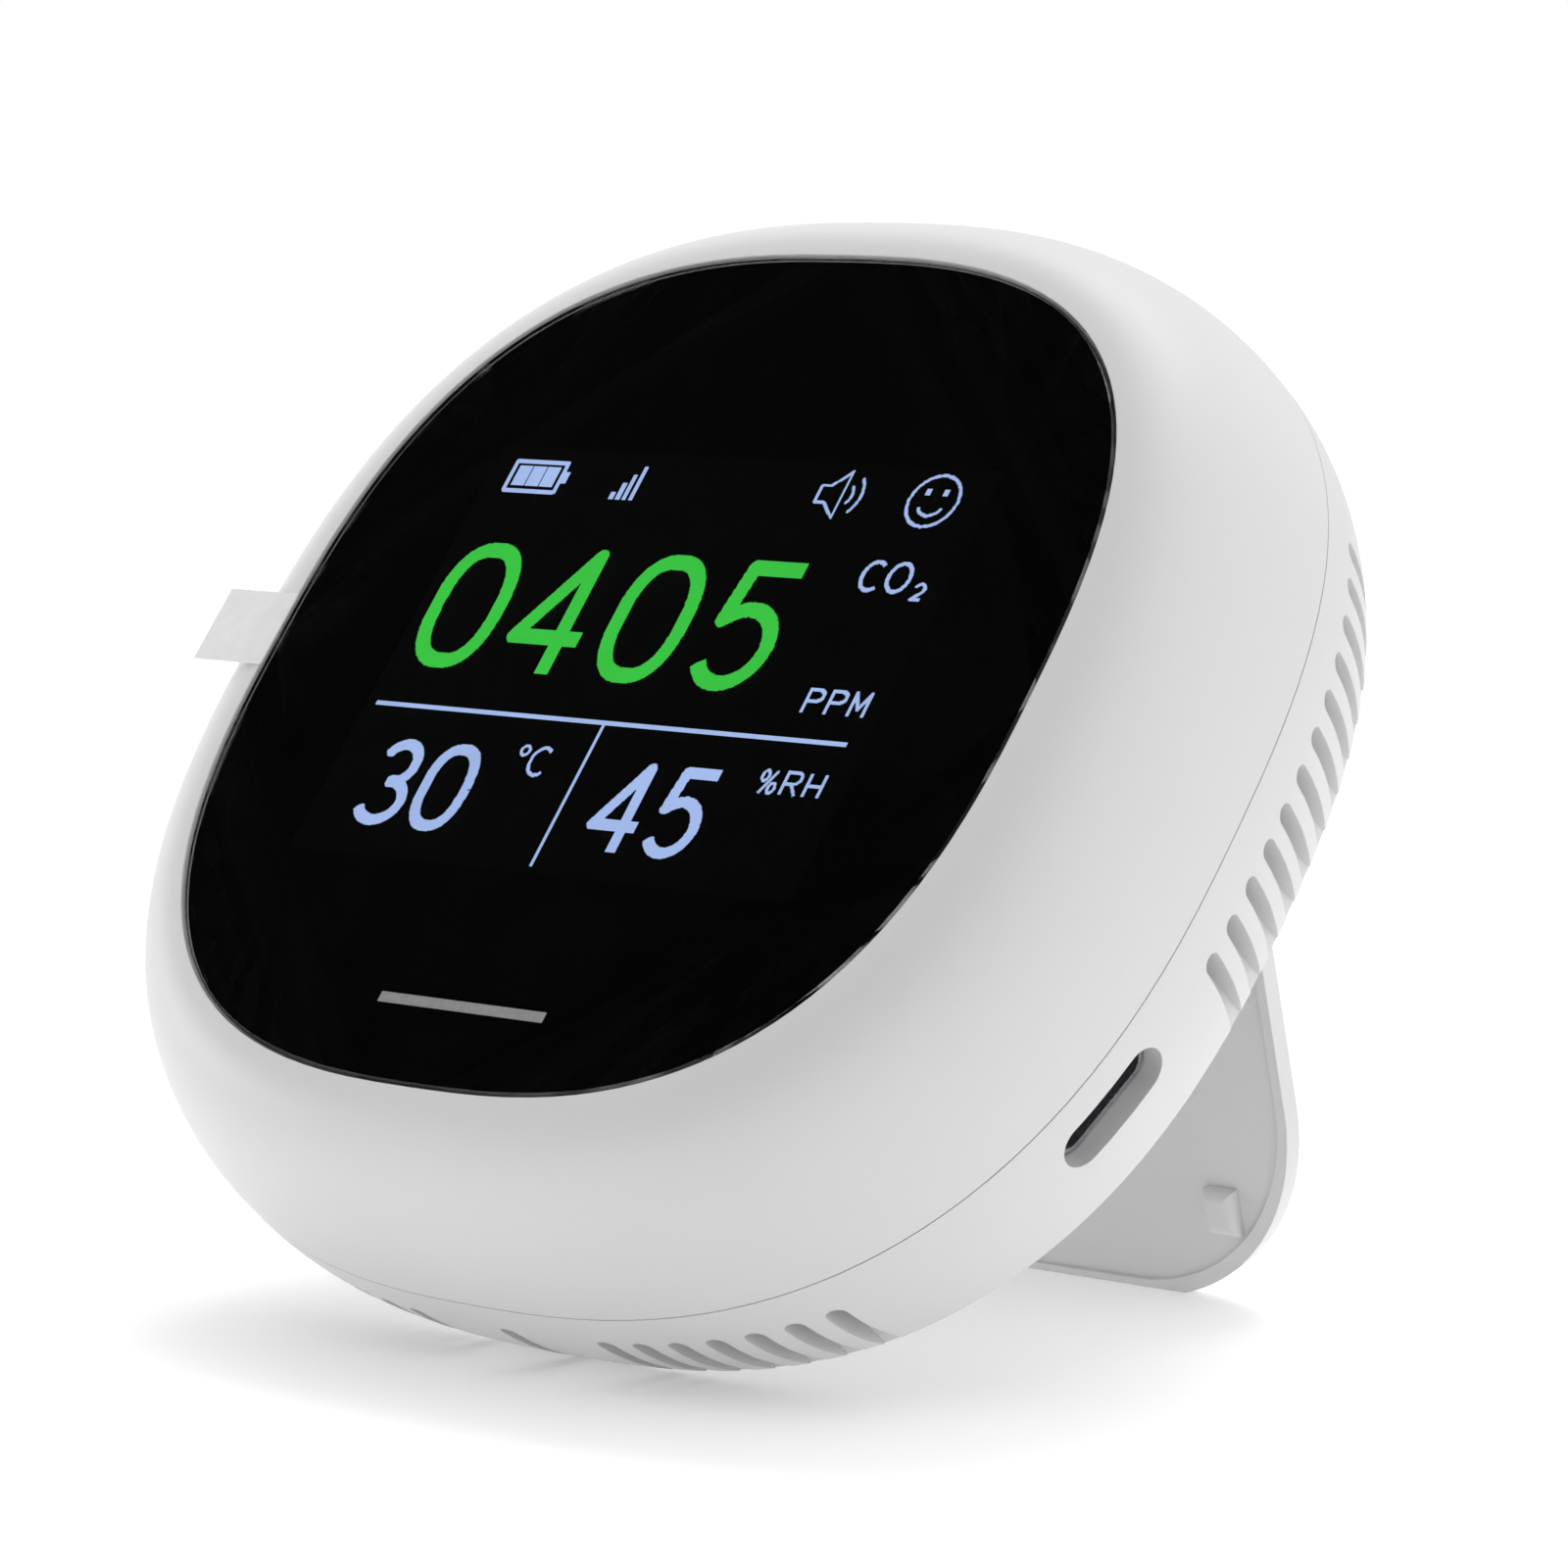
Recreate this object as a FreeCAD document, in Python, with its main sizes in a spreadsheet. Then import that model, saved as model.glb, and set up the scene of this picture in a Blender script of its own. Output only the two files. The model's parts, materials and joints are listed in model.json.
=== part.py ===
import FreeCAD, Part
import math
import os
import Sketcher
from types import SimpleNamespace
from FreeCAD import Placement, Rotation, Vector

# Desk-top carbon dioxide monitor: a cushion-shaped white case that leans back on a fold-out
# stand, with a black glass front, a display, a gas sensor, a battery and a charging socket.
#
# Row frame: +X to the right, +Y to the back, +Z up. The origin is on the table, under the
# middle of the object, which rests on the lower back edge of its case and on its open stand.
#
# The case and everything in it are drawn in the case frame: x to the right, y up the front
# face, z straight out of the front, with its origin at the middle of the glass. Depths into
# the case are negative z. The case frame leans back by lean_angle.

DIMENSIONS = (
    # the case
    ("lean_angle", 39.14, "degrees that the front leans back from upright"),
    ("middle_back", -11.0, "front of glass to middle of footprint, front to back"),
    ("case_power", 2.54, "roundness of the case outline: 2 is a circle"),
    ("rim_half", 34.15, "half width of the front face at its rim"),
    ("seam_half", 42.48, "half width of the case at its seam"),
    ("back_half", 39.61, "half width of the case at its back"),
    ("seam_depth", 14.24, "glass to seam"),
    ("back_depth", 25.87, "glass to back face"),
    ("rim_lift", 0.05, "rim above the middle of the glass"),
    ("front_round", 2.29, "power of the front curve along the width"),
    ("front_drop", 1.91, "power of the front curve along the depth"),
    ("back_bulge", 0.816, "belly of the rear shell's side"),
    ("back_edge_round", 0.5, "radius of the back edge"),
    ("seam_gap", 0.08, "open line between the two shells"),
    ("cavity_rim_half", 33.5, "half width of the flat ceiling inside the front shell"),
    ("cavity_ceiling", 3.0, "glass to that ceiling"),
    ("cavity_seam_half", 40.45, "half width inside the shells at the seam"),
    ("cavity_foot_half", 38.75, "half width inside the rear shell near its floor"),
    ("cavity_foot_depth", 22.6, "glass to the foot of the inner wall"),
    ("cavity_floor_half", 38.0, "half width of the rear shell's floor"),
    ("cavity_floor", 23.4, "glass to the rear shell's floor"),
    ("lip_root_half", 41.2, "half width of the lip where it grows out of the wall"),
    ("lip_half", 40.3, "half width of the lip inside the rear shell"),
    ("lip_inner_half", 39.3, "half width inside the lip"),
    ("lip_root_depth", 11.5, "glass to the top of the lip"),
    ("lip_depth", 15.8, "glass to the end of the lip"),
    # the glass and the film over it
    ("glass_power", 2.67, "roundness of the glass outline"),
    ("glass_half", 34.15, "half width of the glass"),
    ("glass_thick", 0.8, "glass thickness"),
    ("glass_edge", 0.2, "ground edge of the glass"),
    ("glass_gap", 0.18, "open line round the glass"),
    ("seat_depth", 1.15, "glass front to its seat"),
    ("mask_half", 34.05, "half width of the black mask"),
    ("mask_thick", 0.05, "mask thickness"),
    ("view_width", 45.6, "clear window in the mask, across"),
    ("view_height", 34.3, "clear window in the mask, up"),
    ("film_half", 33.6, "half width of the protective film"),
    ("film_thick", 0.1, "film thickness"),
    ("film_gap", 0.06, "air under the film"),
    ("tab_width", 6.1, "pull tab, across its pull"),
    ("tab_reach", 40.95, "middle of the glass to the end of the tab"),
    # the display
    ("window_width", 52.0, "opening for the display, across"),
    ("window_height", 42.0, "opening for the display, up"),
    ("lcd_width", 50.6, "display panel, across"),
    ("lcd_height", 39.0, "display panel, up"),
    ("lcd_thick", 1.2, "display panel thickness"),
    ("lcd_depth", 0.9, "glass front to display panel"),
    ("backlight_thick", 1.8, "backlight thickness"),
    ("backlight_trim", 1.0, "backlight short of the panel along its foot"),
    ("bracket_width", 63.0, "display bracket, across"),
    ("bracket_height", 39.6, "display bracket, up"),
    ("bracket_thick", 1.2, "display bracket thickness"),
    ("bracket_open_width", 42.0, "opening in the bracket, across"),
    ("bracket_open_height", 28.0, "opening in the bracket, up"),
    ("bracket_corner", 3.0, "corner radius of the bracket"),
    ("bracket_gap", 0.05, "backlight to bracket"),
    ("bracket_screw_x", 29.2, "bracket screws, from the middle, across"),
    ("bracket_screw_y", 16.8, "bracket screws, from the middle, up"),
    ("ribbon_width", 16.0, "display ribbon width"),
    ("ribbon_thick", 0.15, "display ribbon thickness"),
    ("ribbon_bend", 1.2, "inner radius of the ribbon's bends"),
    ("ribbon_plug_width", 18.0, "ribbon connector, across"),
    ("ribbon_plug_length", 4.0, "ribbon connector, along the ribbon"),
    ("ribbon_plug_height", 1.5, "ribbon connector height"),
    # the main board
    ("board_half", 39.0, "half width of the main board"),
    ("board_depth", 15.37, "glass to the front of the main board"),
    ("board_thick", 1.2, "main board thickness"),
    ("board_notch", 3.4, "radius of the notches that clear the case posts"),
    ("board_post_x", 35.0, "side posts of the board, across"),
    ("board_post_y", 6.0, "side posts of the board, up"),
    ("board_post_top", 34.0, "upper and lower posts of the board, up"),
    ("small_post_radius", 2.0, "posts for the small screws"),
    ("small_screw_radius", 0.8, "small screw shank"),
    ("small_head_radius", 1.6, "small screw head"),
    ("small_head_height", 1.0, "small screw head height"),
    ("small_screw_length", 4.8, "board screw shank length"),
    ("short_screw_length", 2.7, "bracket screw shank length"),
    ("screw_play", 0.02, "shank to thread hole"),
    # the case screws
    ("post_place", 27.5, "case posts, from the middle, both ways"),
    ("post_radius", 2.6, "case post radius"),
    ("post_meet", 13.65, "glass to where front and rear posts meet"),
    ("screw_radius", 1.0, "case screw shank"),
    ("screw_hole", 1.15, "clearance hole for the case screw"),
    ("screw_length", 14.0, "case screw shank length"),
    ("head_radius", 1.9, "case screw head"),
    ("head_height", 1.5, "case screw head height"),
    ("head_well", 2.1, "radius of the well over the screw head"),
    ("head_depth", 22.4, "glass to the seat of the screw head"),
    ("drive_width", 0.5, "width of the cross recess"),
    ("drive_depth", 0.7, "depth of the cross recess"),
    # gas, temperature and humidity sensing
    ("sensor_width", 20.0, "gas sensor board, across"),
    ("sensor_height", 33.0, "gas sensor board, up"),
    ("sensor_board_thick", 1.0, "gas sensor board thickness"),
    ("sensor_stand_off", 0.5, "main board to gas sensor board"),
    ("chamber_width", 17.0, "gas chamber, across"),
    ("chamber_height", 28.0, "gas chamber, up"),
    ("chamber_thick", 7.0, "gas chamber thickness"),
    ("chamber_round", 1.5, "rounding of the gas chamber"),
    ("membrane_width", 10.0, "dust membrane, across"),
    ("membrane_height", 18.0, "dust membrane, up"),
    ("membrane_thick", 0.3, "dust membrane thickness"),
    ("pin_radius", 0.32, "sensor pin radius"),
    ("pin_hole", 0.42, "hole for a sensor pin"),
    ("pin_length", 2.8, "sensor pin length"),
    ("pin_pitch", 2.54, "sensor pin spacing"),
    ("climate_size", 2.5, "temperature and humidity sensor, both ways"),
    ("climate_thick", 0.9, "temperature and humidity sensor thickness"),
    # radio, chips and buzzer
    ("radio_width", 13.0, "wireless module, across"),
    ("radio_height", 16.0, "wireless module, up"),
    ("radio_thick", 0.8, "wireless module thickness"),
    ("shield_width", 11.0, "wireless shield, across"),
    ("shield_height", 10.5, "wireless shield, up"),
    ("shield_thick", 1.6, "wireless shield thickness"),
    ("shield_wall", 0.2, "wireless shield sheet"),
    ("chip_thick", 0.9, "chip thickness"),
    ("buzzer_radius", 4.5, "buzzer radius"),
    ("buzzer_height", 4.0, "buzzer height"),
    ("buzzer_hole", 1.0, "sound hole radius"),
    # battery
    ("cell_width", 30.0, "battery, across"),
    ("cell_height", 40.0, "battery, up"),
    ("cell_thick", 6.0, "battery thickness"),
    ("cell_round", 1.2, "rounding of the battery's long edges"),
    ("cell_tape", 0.5, "foam tape under the battery"),
    ("lead_radius", 0.6, "battery lead radius"),
    ("lead_length", 3.0, "battery to plug"),
    ("plug_width", 6.0, "battery plug, across"),
    ("plug_length", 4.0, "battery plug, along the leads"),
    ("plug_height", 4.6, "battery plug height"),
    ("socket_length", 5.0, "battery socket, along the leads"),
    ("socket_width", 8.0, "battery socket, across"),
    # charging socket, set in the lower right side
    ("port_arc", 49.8, "bottom of the case to the port, along the seam outline"),
    ("port_depth", 18.2, "glass to the middle of the port"),
    ("port_recess", 2.2, "shell mouth below the outer surface"),
    ("port_hole_width", 9.4, "port hole, along the case"),
    ("port_hole_height", 3.5, "port hole, front to back"),
    ("port_width", 8.94, "socket shell, along the case"),
    ("port_height", 3.26, "socket shell, front to back"),
    ("port_length", 7.35, "socket shell length"),
    ("port_wall", 0.3, "socket shell sheet"),
    ("mouth_depth", 6.2, "depth of the socket mouth"),
    ("tongue_width", 6.69, "socket tongue, along the case"),
    ("tongue_thick", 0.7, "socket tongue thickness"),
    ("tongue_length", 4.5, "socket tongue length"),
    # power button, set in the lower left side
    ("button_play", 0.15, "button to its hole"),
    ("button_proud", 0.5, "button above the outer surface"),
    ("button_length", 5.0, "button, from its back to its cap"),
    ("button_ear", 1.15, "ear at each end that keeps the button in"),
    ("button_ear_thick", 0.8, "ear thickness"),
    ("button_stem", 1.5, "stem that meets the switch, both ways"),
    ("button_stem_length", 0.45, "stem length"),
    ("switch_width", 4.5, "switch, along the case"),
    ("switch_height", 3.1, "switch, front to back"),
    ("switch_length", 4.0, "switch, into the case"),
    ("plunger_width", 1.6, "switch plunger, along the case"),
    ("plunger_height", 1.2, "switch plunger, front to back"),
    ("plunger_length", 2.4, "switch plunger length"),
    ("plunger_play", 0.1, "plunger to switch"),
    # vents
    ("vent_pitch", 3.0, "spacing of the bottom vents along the seam outline"),
    ("side_vent_pitch", 3.08, "spacing of the side vents along the seam outline"),
    ("side_vent_first", 8.6, "lowest side vent below the middle of the side"),
    ("vent_width", 1.5, "vent width"),
    ("vent_start", 17.5, "glass to the round end of a vent"),
    ("vent_floor_half", 39.5, "half width at the floor of the vents"),
    ("screen_top", 17.0, "glass to the top of the dust screens"),
    ("screen_foot", 22.4, "glass to the foot of the dust screens"),
    ("screen_gap", 0.1, "shell to dust screen"),
    ("screen_thick", 0.3, "dust screen thickness"),
    # stand
    ("hinge_up", 15.0, "middle of the back to the stand's hinge"),
    ("hinge_depth", 24.35, "glass to the stand's hinge"),
    ("stand_half", 28.0, "half width of the stand"),
    ("stand_length", 44.7, "hinge to free edge"),
    ("stand_extra", 0.6, "length that the foot facet is cut from"),
    ("stand_corner", 15.8, "corner radius of the free edge"),
    ("stand_outer", 1.4, "hinge axis to the stand's outer face"),
    ("stand_inner", 0.1, "hinge axis to the rim on its inner face"),
    ("stand_rim", 0.8, "width of that rim"),
    ("stand_dish", 0.3, "depth inside the rim"),
    ("barrel_radius", 1.4, "radius of the stand's hinge edge"),
    ("stand_play", 0.35, "stand to its pocket"),
    ("pocket_depth", 2.1, "depth of the stand's pocket"),
    ("pocket_wall", 2.3, "wall under the pocket"),
    ("backing_margin", 2.8, "that wall beyond the stand, to each side"),
    ("backing_head", 7.2, "that wall beyond the hinge edge"),
    ("backing_foot", 6.5, "that wall beyond the free edge"),
    ("stop_place", 16.0, "stop lugs, from the middle"),
    ("stop_width", 8.0, "stop lug width"),
    ("stop_reach", 2.6, "hinge axis to the end of a stop lug"),
    ("stop_thick", 1.2, "stop lug thickness"),
    ("stop_gap", 0.06, "stop lug to its floor when open"),
    ("catch_place", 21.2, "catch bumps, from the middle"),
    ("catch_from_edge", 6.9, "catch bumps, from the free edge"),
    ("catch_width", 2.7, "catch bump, across"),
    ("catch_length", 3.5, "catch bump, along the stand"),
    ("catch_height", 1.1, "catch bump above the dish"),
    ("catch_round", 0.9, "rounding of a catch bump's top"),
    ("catch_socket", 1.0, "depth of a catch bump's socket in the pocket's floor"),
    ("pin_stub_radius", 0.75, "hinge pin radius"),
    ("pin_stub_bore", 0.8, "bore that the hinge pin turns in"),
    ("pin_stub_length", 6.0, "hinge pin length"),
    ("pin_stub_out", 1.4, "hinge pin beyond the stand"),
    ("pin_boss_size", 5.0, "extra wall round a hinge pin, both ways"),
    ("pin_boss_thick", 2.4, "thickness of that wall"),
)

OUTLINE_POINTS = 64
FRONT_SECTIONS = 11
BACK_SECTIONS = 6
ARC_STEPS = 4000
X_AXIS = Vector(1, 0, 0)
Z_AXIS = Vector(0, 0, 1)
SIDES = (-1, 1)
QUARTERS = tuple((side, end) for side in SIDES for end in SIDES)

doc = FreeCAD.newDocument("carbon_dioxide_monitor")
sheet = doc.addObject("Spreadsheet::Sheet", "Sheet")
parts = {}


def fill_sheet():
    """Write every driving dimension into the sheet, and return them by alias."""
    for row, (alias, amount, meaning) in enumerate(DIMENSIONS, start=1):
        sheet.set(f"A{row}", meaning)
        sheet.set(f"B{row}", str(amount))
        sheet.setAlias(f"B{row}", alias)
    doc.recompute()
    return SimpleNamespace(**{alias: float(sheet.get(alias)) for alias, _, _ in DIMENSIONS})


size = fill_sheet()


def formula(text):
    """Turn words that are aliases into references to the sheet."""
    words = text.replace("(", " ( ").replace(")", " ) ").split()
    return " ".join(f"Sheet.{word}" if hasattr(size, word) else word for word in words)


def bind(piece, **sizes):
    """Tie properties of a document object to the sheet."""
    for name, text in sizes.items():
        piece.setExpression(name, formula(text))
    piece.recompute()


def keep(node, piece, place=None):
    """Name a finished sub-part and put it where it belongs."""
    piece.Label = node
    if place is not None:
        piece.Placement = place.multiply(piece.Placement)
    parts[node] = piece
    return piece


# ---- primitives and booleans -------------------------------------------------------------

def block(name, width, height, depth, middle, rear):
    """Box of three sheet formulas, centred on middle, reaching forwards from rear."""
    piece = doc.addObject("Part::Box", name)
    bind(piece, Length=width, Width=height, Height=depth)
    corner = Vector(middle[0] - piece.Length.Value / 2, middle[1] - piece.Width.Value / 2, rear)
    piece.Placement = Placement(corner, Rotation())
    return piece


def rod(name, radius, length, start, direction=Z_AXIS):
    """Cylinder of two sheet formulas, from start along direction."""
    piece = doc.addObject("Part::Cylinder", name)
    bind(piece, Radius=radius, Height=length)
    piece.Placement = Placement(Vector(*start), Rotation(Z_AXIS, direction))
    return piece


def fuse(name, *pieces):
    """One solid of several pieces."""
    result = doc.addObject("Part::MultiFuse", name)
    result.Shapes = list(pieces)
    result.Refine = True
    return result


def group(name, *pieces):
    """Separate solids under one name."""
    result = doc.addObject("Part::Compound", name)
    result.Links = list(pieces)
    return result


def cut(name, base, *tools):
    """Base with every tool taken away."""
    result = doc.addObject("Part::Cut", name)
    result.Base = base
    result.Tool = tools[0] if len(tools) == 1 else group(name + "_tools", *tools)
    return result


def shaped(name, shape):
    """Document object for a shape that neither sketches nor primitives can draw."""
    piece = doc.addObject("Part::Feature", name)
    piece.Shape = shape
    return piece


def screw(name, spot, seat, radius, length, head_radius, head_height):
    """Pan-head screw whose shank points forwards from its seat at the given depth."""
    shank = rod(name + "_shank", radius, length, (*spot, seat))
    head = rod(name + "_head", head_radius, head_height, (*spot, seat), -Z_AXIS)
    back = seat - head.Height.Value
    arm = f"{head_radius} * 1.2"
    upright = block(name + "_drive_up", "drive_width", arm, "drive_depth", spot, back)
    level = block(name + "_drive_level", arm, "drive_width", "drive_depth", spot, back)
    return cut(name, fuse(name + "_blank", shank, head), upright, level)


def bar(name, length, width, height, front):
    """Box along x, centred on the x axis, ending at front."""
    piece = doc.addObject("Part::Box", name)
    bind(piece, Length=length, Width=width, Height=height)
    corner = Vector(front - piece.Length.Value, -piece.Width.Value / 2, -piece.Height.Value / 2)
    piece.Placement = Placement(corner, Rotation())
    return piece


def stadium(name, length, width, height, front):
    """Bar along x with fully rounded ends, ending at front."""
    middle = bar(name + "_middle", length, f"( {width} ) - ( {height} )", height, front)
    start = front - middle.Length.Value
    reach = middle.Width.Value / 2
    ends = [
        rod(f"{name}_end_{side}", f"( {height} ) / 2", length, (start, side * reach, 0), X_AXIS)
        for side in SIDES
    ]
    return fuse(name, middle, *ends)


# ---- sketched bodies -----------------------------------------------------------------------

def new_body(name):
    return doc.addObject("PartDesign::Body", name)


def new_sketch(body, name, role, level):
    """Sketch on one of the body's own origin planes, lifted by level."""
    sketch = body.newObject("Sketcher::SketchObject", name)
    plane = next(item for item in body.Origin.OriginFeatures if item.Role == role)
    sketch.AttachmentSupport = (plane, [""])
    sketch.MapMode = "FlatFace"
    sketch.AttachmentOffset = Placement(Vector(0, 0, level), Rotation())
    return sketch


def size_constraint(sketch, name, text, kind, *where):
    """Dimension of a sketch that follows a sheet formula."""
    index = sketch.addConstraint(Sketcher.Constraint(kind, *where))
    sketch.renameConstraint(index, name)
    sketch.setExpression(f"Constraints.{name}", formula(text))


def join_corners(sketch, count):
    """Make each of count sides end where the next one starts."""
    for side in range(count):
        sketch.addConstraint(Sketcher.Constraint("Coincident", side, 2, (side + 1) % count, 1))


def rectangle(body, name, role, level, middle, width, height):
    """Rectangle centred on middle; width and height are sheet formulas."""
    sketch = new_sketch(body, name, role, level)
    x, y = middle
    corners = [Vector(x + a, y + b, 0) for a, b in ((-1, -1), (1, -1), (1, 1), (-1, 1))]
    for first, second in zip(corners, corners[1:] + corners[:1]):
        sketch.addGeometry(Part.LineSegment(first, second), False)
    join_corners(sketch, 4)
    for side, kind in enumerate(("Horizontal", "Vertical", "Horizontal", "Vertical")):
        sketch.addConstraint(Sketcher.Constraint(kind, side))
    size_constraint(sketch, "width", width, "DistanceX", 0, 1, 0, 2, 2.0)
    size_constraint(sketch, "height", height, "DistanceY", 1, 1, 1, 2, 2.0)
    centre = sketch.addGeometry(Part.Point(Vector(x, y, 0)), True)
    sketch.addConstraint(Sketcher.Constraint("Symmetric", 0, 1, 1, 2, centre, 1))
    sketch.addConstraint(Sketcher.Constraint("DistanceX", -1, 1, centre, 1, x))
    sketch.addConstraint(Sketcher.Constraint("DistanceY", -1, 1, centre, 1, y))
    return sketch


def circle(body, name, role, level, middle, radius):
    """Circle at middle; its radius is a sheet formula."""
    sketch = new_sketch(body, name, role, level)
    sketch.addGeometry(Part.Circle(Vector(*middle, 0), Z_AXIS, 1.0), False)
    size_constraint(sketch, "radius", radius, "Radius", 0, 1.0)
    sketch.addConstraint(Sketcher.Constraint("DistanceX", -1, 1, 0, 3, middle[0]))
    sketch.addConstraint(Sketcher.Constraint("DistanceY", -1, 1, 0, 3, middle[1]))
    return sketch


def pad(body, sketch, length, both_ways=False):
    """Solid raised from a sketch."""
    feature = body.newObject("PartDesign::Pad", sketch.Name + "_pad")
    feature.Profile = sketch
    feature.setExpression("Length", formula(length))
    feature.Midplane = both_ways
    doc.recompute()
    return feature


def pocket(body, sketch, length, forwards=False, both_ways=False):
    """Hollow sunk from a sketch, checked to have taken material away."""
    before = body.Shape.Volume
    feature = body.newObject("PartDesign::Pocket", sketch.Name + "_pocket")
    feature.Profile = sketch
    feature.setExpression("Length", formula(length))
    feature.Reversed = forwards
    feature.Midplane = both_ways
    doc.recompute()
    if not body.Shape.Volume < before:
        raise RuntimeError(f"{feature.Name} cuts nothing")
    return feature


def round_edges(body, name, base, radius, wanted):
    """Fillet on the edges of base for which wanted(edge) is true."""
    feature = body.newObject("PartDesign::Fillet", name)
    edges = [f"Edge{number}" for number, edge in enumerate(base.Shape.Edges, 1) if wanted(edge)]
    feature.Base = (base, edges)
    feature.setExpression("Radius", formula(radius))
    doc.recompute()
    return feature


def along(edge, axis):
    """Whether a straight edge runs along one axis."""
    first, last = edge.firstVertex().Point, edge.lastVertex().Point
    return abs(abs((last - first).normalize().dot(axis)) - 1) < 1e-6


def tongue(body, name, level, top, half, length, corner):
    """Outline that is square at the top and has two large round corners at the far end."""
    sketch = new_sketch(body, name, "XY_Plane", level)
    low = -30.0
    side = 20.0
    bend = 5.0
    quarter = math.pi / 2
    left = Vector(bend - side, low + bend, 0)
    right = Vector(side - bend, low + bend, 0)
    sides = (
        Part.LineSegment(Vector(side, top, 0), Vector(-side, top, 0)),
        Part.LineSegment(Vector(-side, top, 0), Vector(-side, low + bend, 0)),
        Part.ArcOfCircle(Part.Circle(left, Z_AXIS, bend), 2 * quarter, 3 * quarter),
        Part.LineSegment(Vector(bend - side, low, 0), Vector(side - bend, low, 0)),
        Part.ArcOfCircle(Part.Circle(right, Z_AXIS, bend), 3 * quarter, 4 * quarter),
        Part.LineSegment(Vector(side, low + bend, 0), Vector(side, top, 0)),
    )
    for piece in sides:
        sketch.addGeometry(piece, False)
    sketch.addConstraint(Sketcher.Constraint("Coincident", 0, 2, 1, 1))
    sketch.addConstraint(Sketcher.Constraint("Coincident", 5, 2, 0, 1))
    for first in (1, 2, 3, 4):
        sketch.addConstraint(Sketcher.Constraint("Tangent", first, 2, first + 1, 1))
    sketch.addConstraint(Sketcher.Constraint("Vertical", 1))
    sketch.addConstraint(Sketcher.Constraint("Horizontal", 3))
    sketch.addConstraint(Sketcher.Constraint("Vertical", 5))
    sketch.addConstraint(Sketcher.Constraint("Equal", 2, 4))
    sketch.addConstraint(Sketcher.Constraint("Symmetric", 0, 1, 0, 2, -2))
    sketch.addConstraint(Sketcher.Constraint("DistanceY", -1, 1, 0, 1, top))
    size_constraint(sketch, "corner", corner, "Radius", 2, bend)
    size_constraint(sketch, "width", f"2 * ( {half} )", "DistanceX", 0, 2, 0, 1, 2 * side)
    size_constraint(sketch, "length", length, "DistanceY", 3, 1, 0, 1, top - low)
    return sketch


# ---- rounded outlines ----------------------------------------------------------------------

def outline_spot(half, power, angle):
    """Point of the outline |x|^power + |y|^power = half^power in a given direction."""
    across = math.cos(angle)
    up = math.sin(angle)
    x = math.copysign(half * abs(across) ** (2 / power), across)
    y = math.copysign(half * abs(up) ** (2 / power), up)
    return x, y


def outline(half, power, level):
    """Closed smooth outline at one level of the case."""
    turns = [2 * math.pi * step / OUTLINE_POINTS for step in range(OUTLINE_POINTS)]
    points = [Vector(*outline_spot(half, power, turn), level) for turn in turns]
    curve = Part.BSplineCurve()
    curve.interpolate(Points=points, PeriodicFlag=True)
    return Part.Wire(curve.toShape())


def slab(half, power, front, rear):
    """Flat slice of a rounded outline between two levels."""
    return Part.Face(outline(half, power, rear)).extrude(Vector(0, 0, front - rear))


def loft(sections, straight=False):
    """Solid through outlines of the case, given as (half, level)."""
    wires = [outline(half, size.case_power, level) for half, level in sections]
    return Part.makeLoft(wires, True, straight)


def front_curve(rim, rim_level, seam, seam_level):
    """Sections of the domed front, from its rim to its seam."""
    sections = []
    for step in range(FRONT_SECTIONS):
        turn = math.pi / 2 * step / (FRONT_SECTIONS - 1)
        half = rim + (seam - rim) * math.sin(turn) ** (2 / size.front_round)
        level = seam_level + (rim_level - seam_level) * abs(math.cos(turn)) ** (2 / size.front_drop)
        sections.append((half, level))
    return sections


def back_half_at(share):
    """Half width of the rear shell, from 0 at the seam to 1 at the back."""
    belly = 4 * size.back_bulge * share * (1 - share)
    return size.seam_half + (size.back_half - size.seam_half) * share + belly


def seam_walk(arc):
    """Direction from the middle at which the seam outline, from its bottom, is arc long."""
    start = -math.pi / 2
    x, y = outline_spot(size.seam_half, size.case_power, start)
    walked = 0.0
    for step in range(1, ARC_STEPS):
        turn = start + 2 * math.pi * step / ARC_STEPS
        next_x, next_y = outline_spot(size.seam_half, size.case_power, turn)
        walked += math.hypot(next_x - x, next_y - y)
        x, y = next_x, next_y
        if walked >= arc:
            return turn
    raise ValueError("the arc is longer than the seam")


def quarter_arc():
    """Length of the seam outline from its bottom to its side."""
    turns = [math.pi / 2 * step / ARC_STEPS for step in range(ARC_STEPS + 1)]
    spots = [outline_spot(size.seam_half, size.case_power, turn) for turn in turns]
    return sum(math.dist(first, second) for first, second in zip(spots, spots[1:]))


def outward(x, y):
    """Unit direction straight out of the case's outline."""
    steep = size.case_power - 1
    across = math.copysign(abs(x) ** steep, x)
    up = math.copysign(abs(y) ** steep, y)
    return Vector(across, up, 0).normalize()


def side_place(half, arc, level):
    """Placement on the case's side with x pointing outwards; arc may be negative."""
    turn = seam_walk(abs(arc))
    x, y = outline_spot(half, size.case_power, turn)
    spot = Vector(math.copysign(x, arc) if arc else 0.0, y, level)
    direction = outward(spot.x, spot.y)
    heading = math.degrees(math.atan2(direction.y, direction.x))
    return Placement(spot, Rotation(Z_AXIS, heading))


# ---- where the case and the stand sit ------------------------------------------------------

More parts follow.
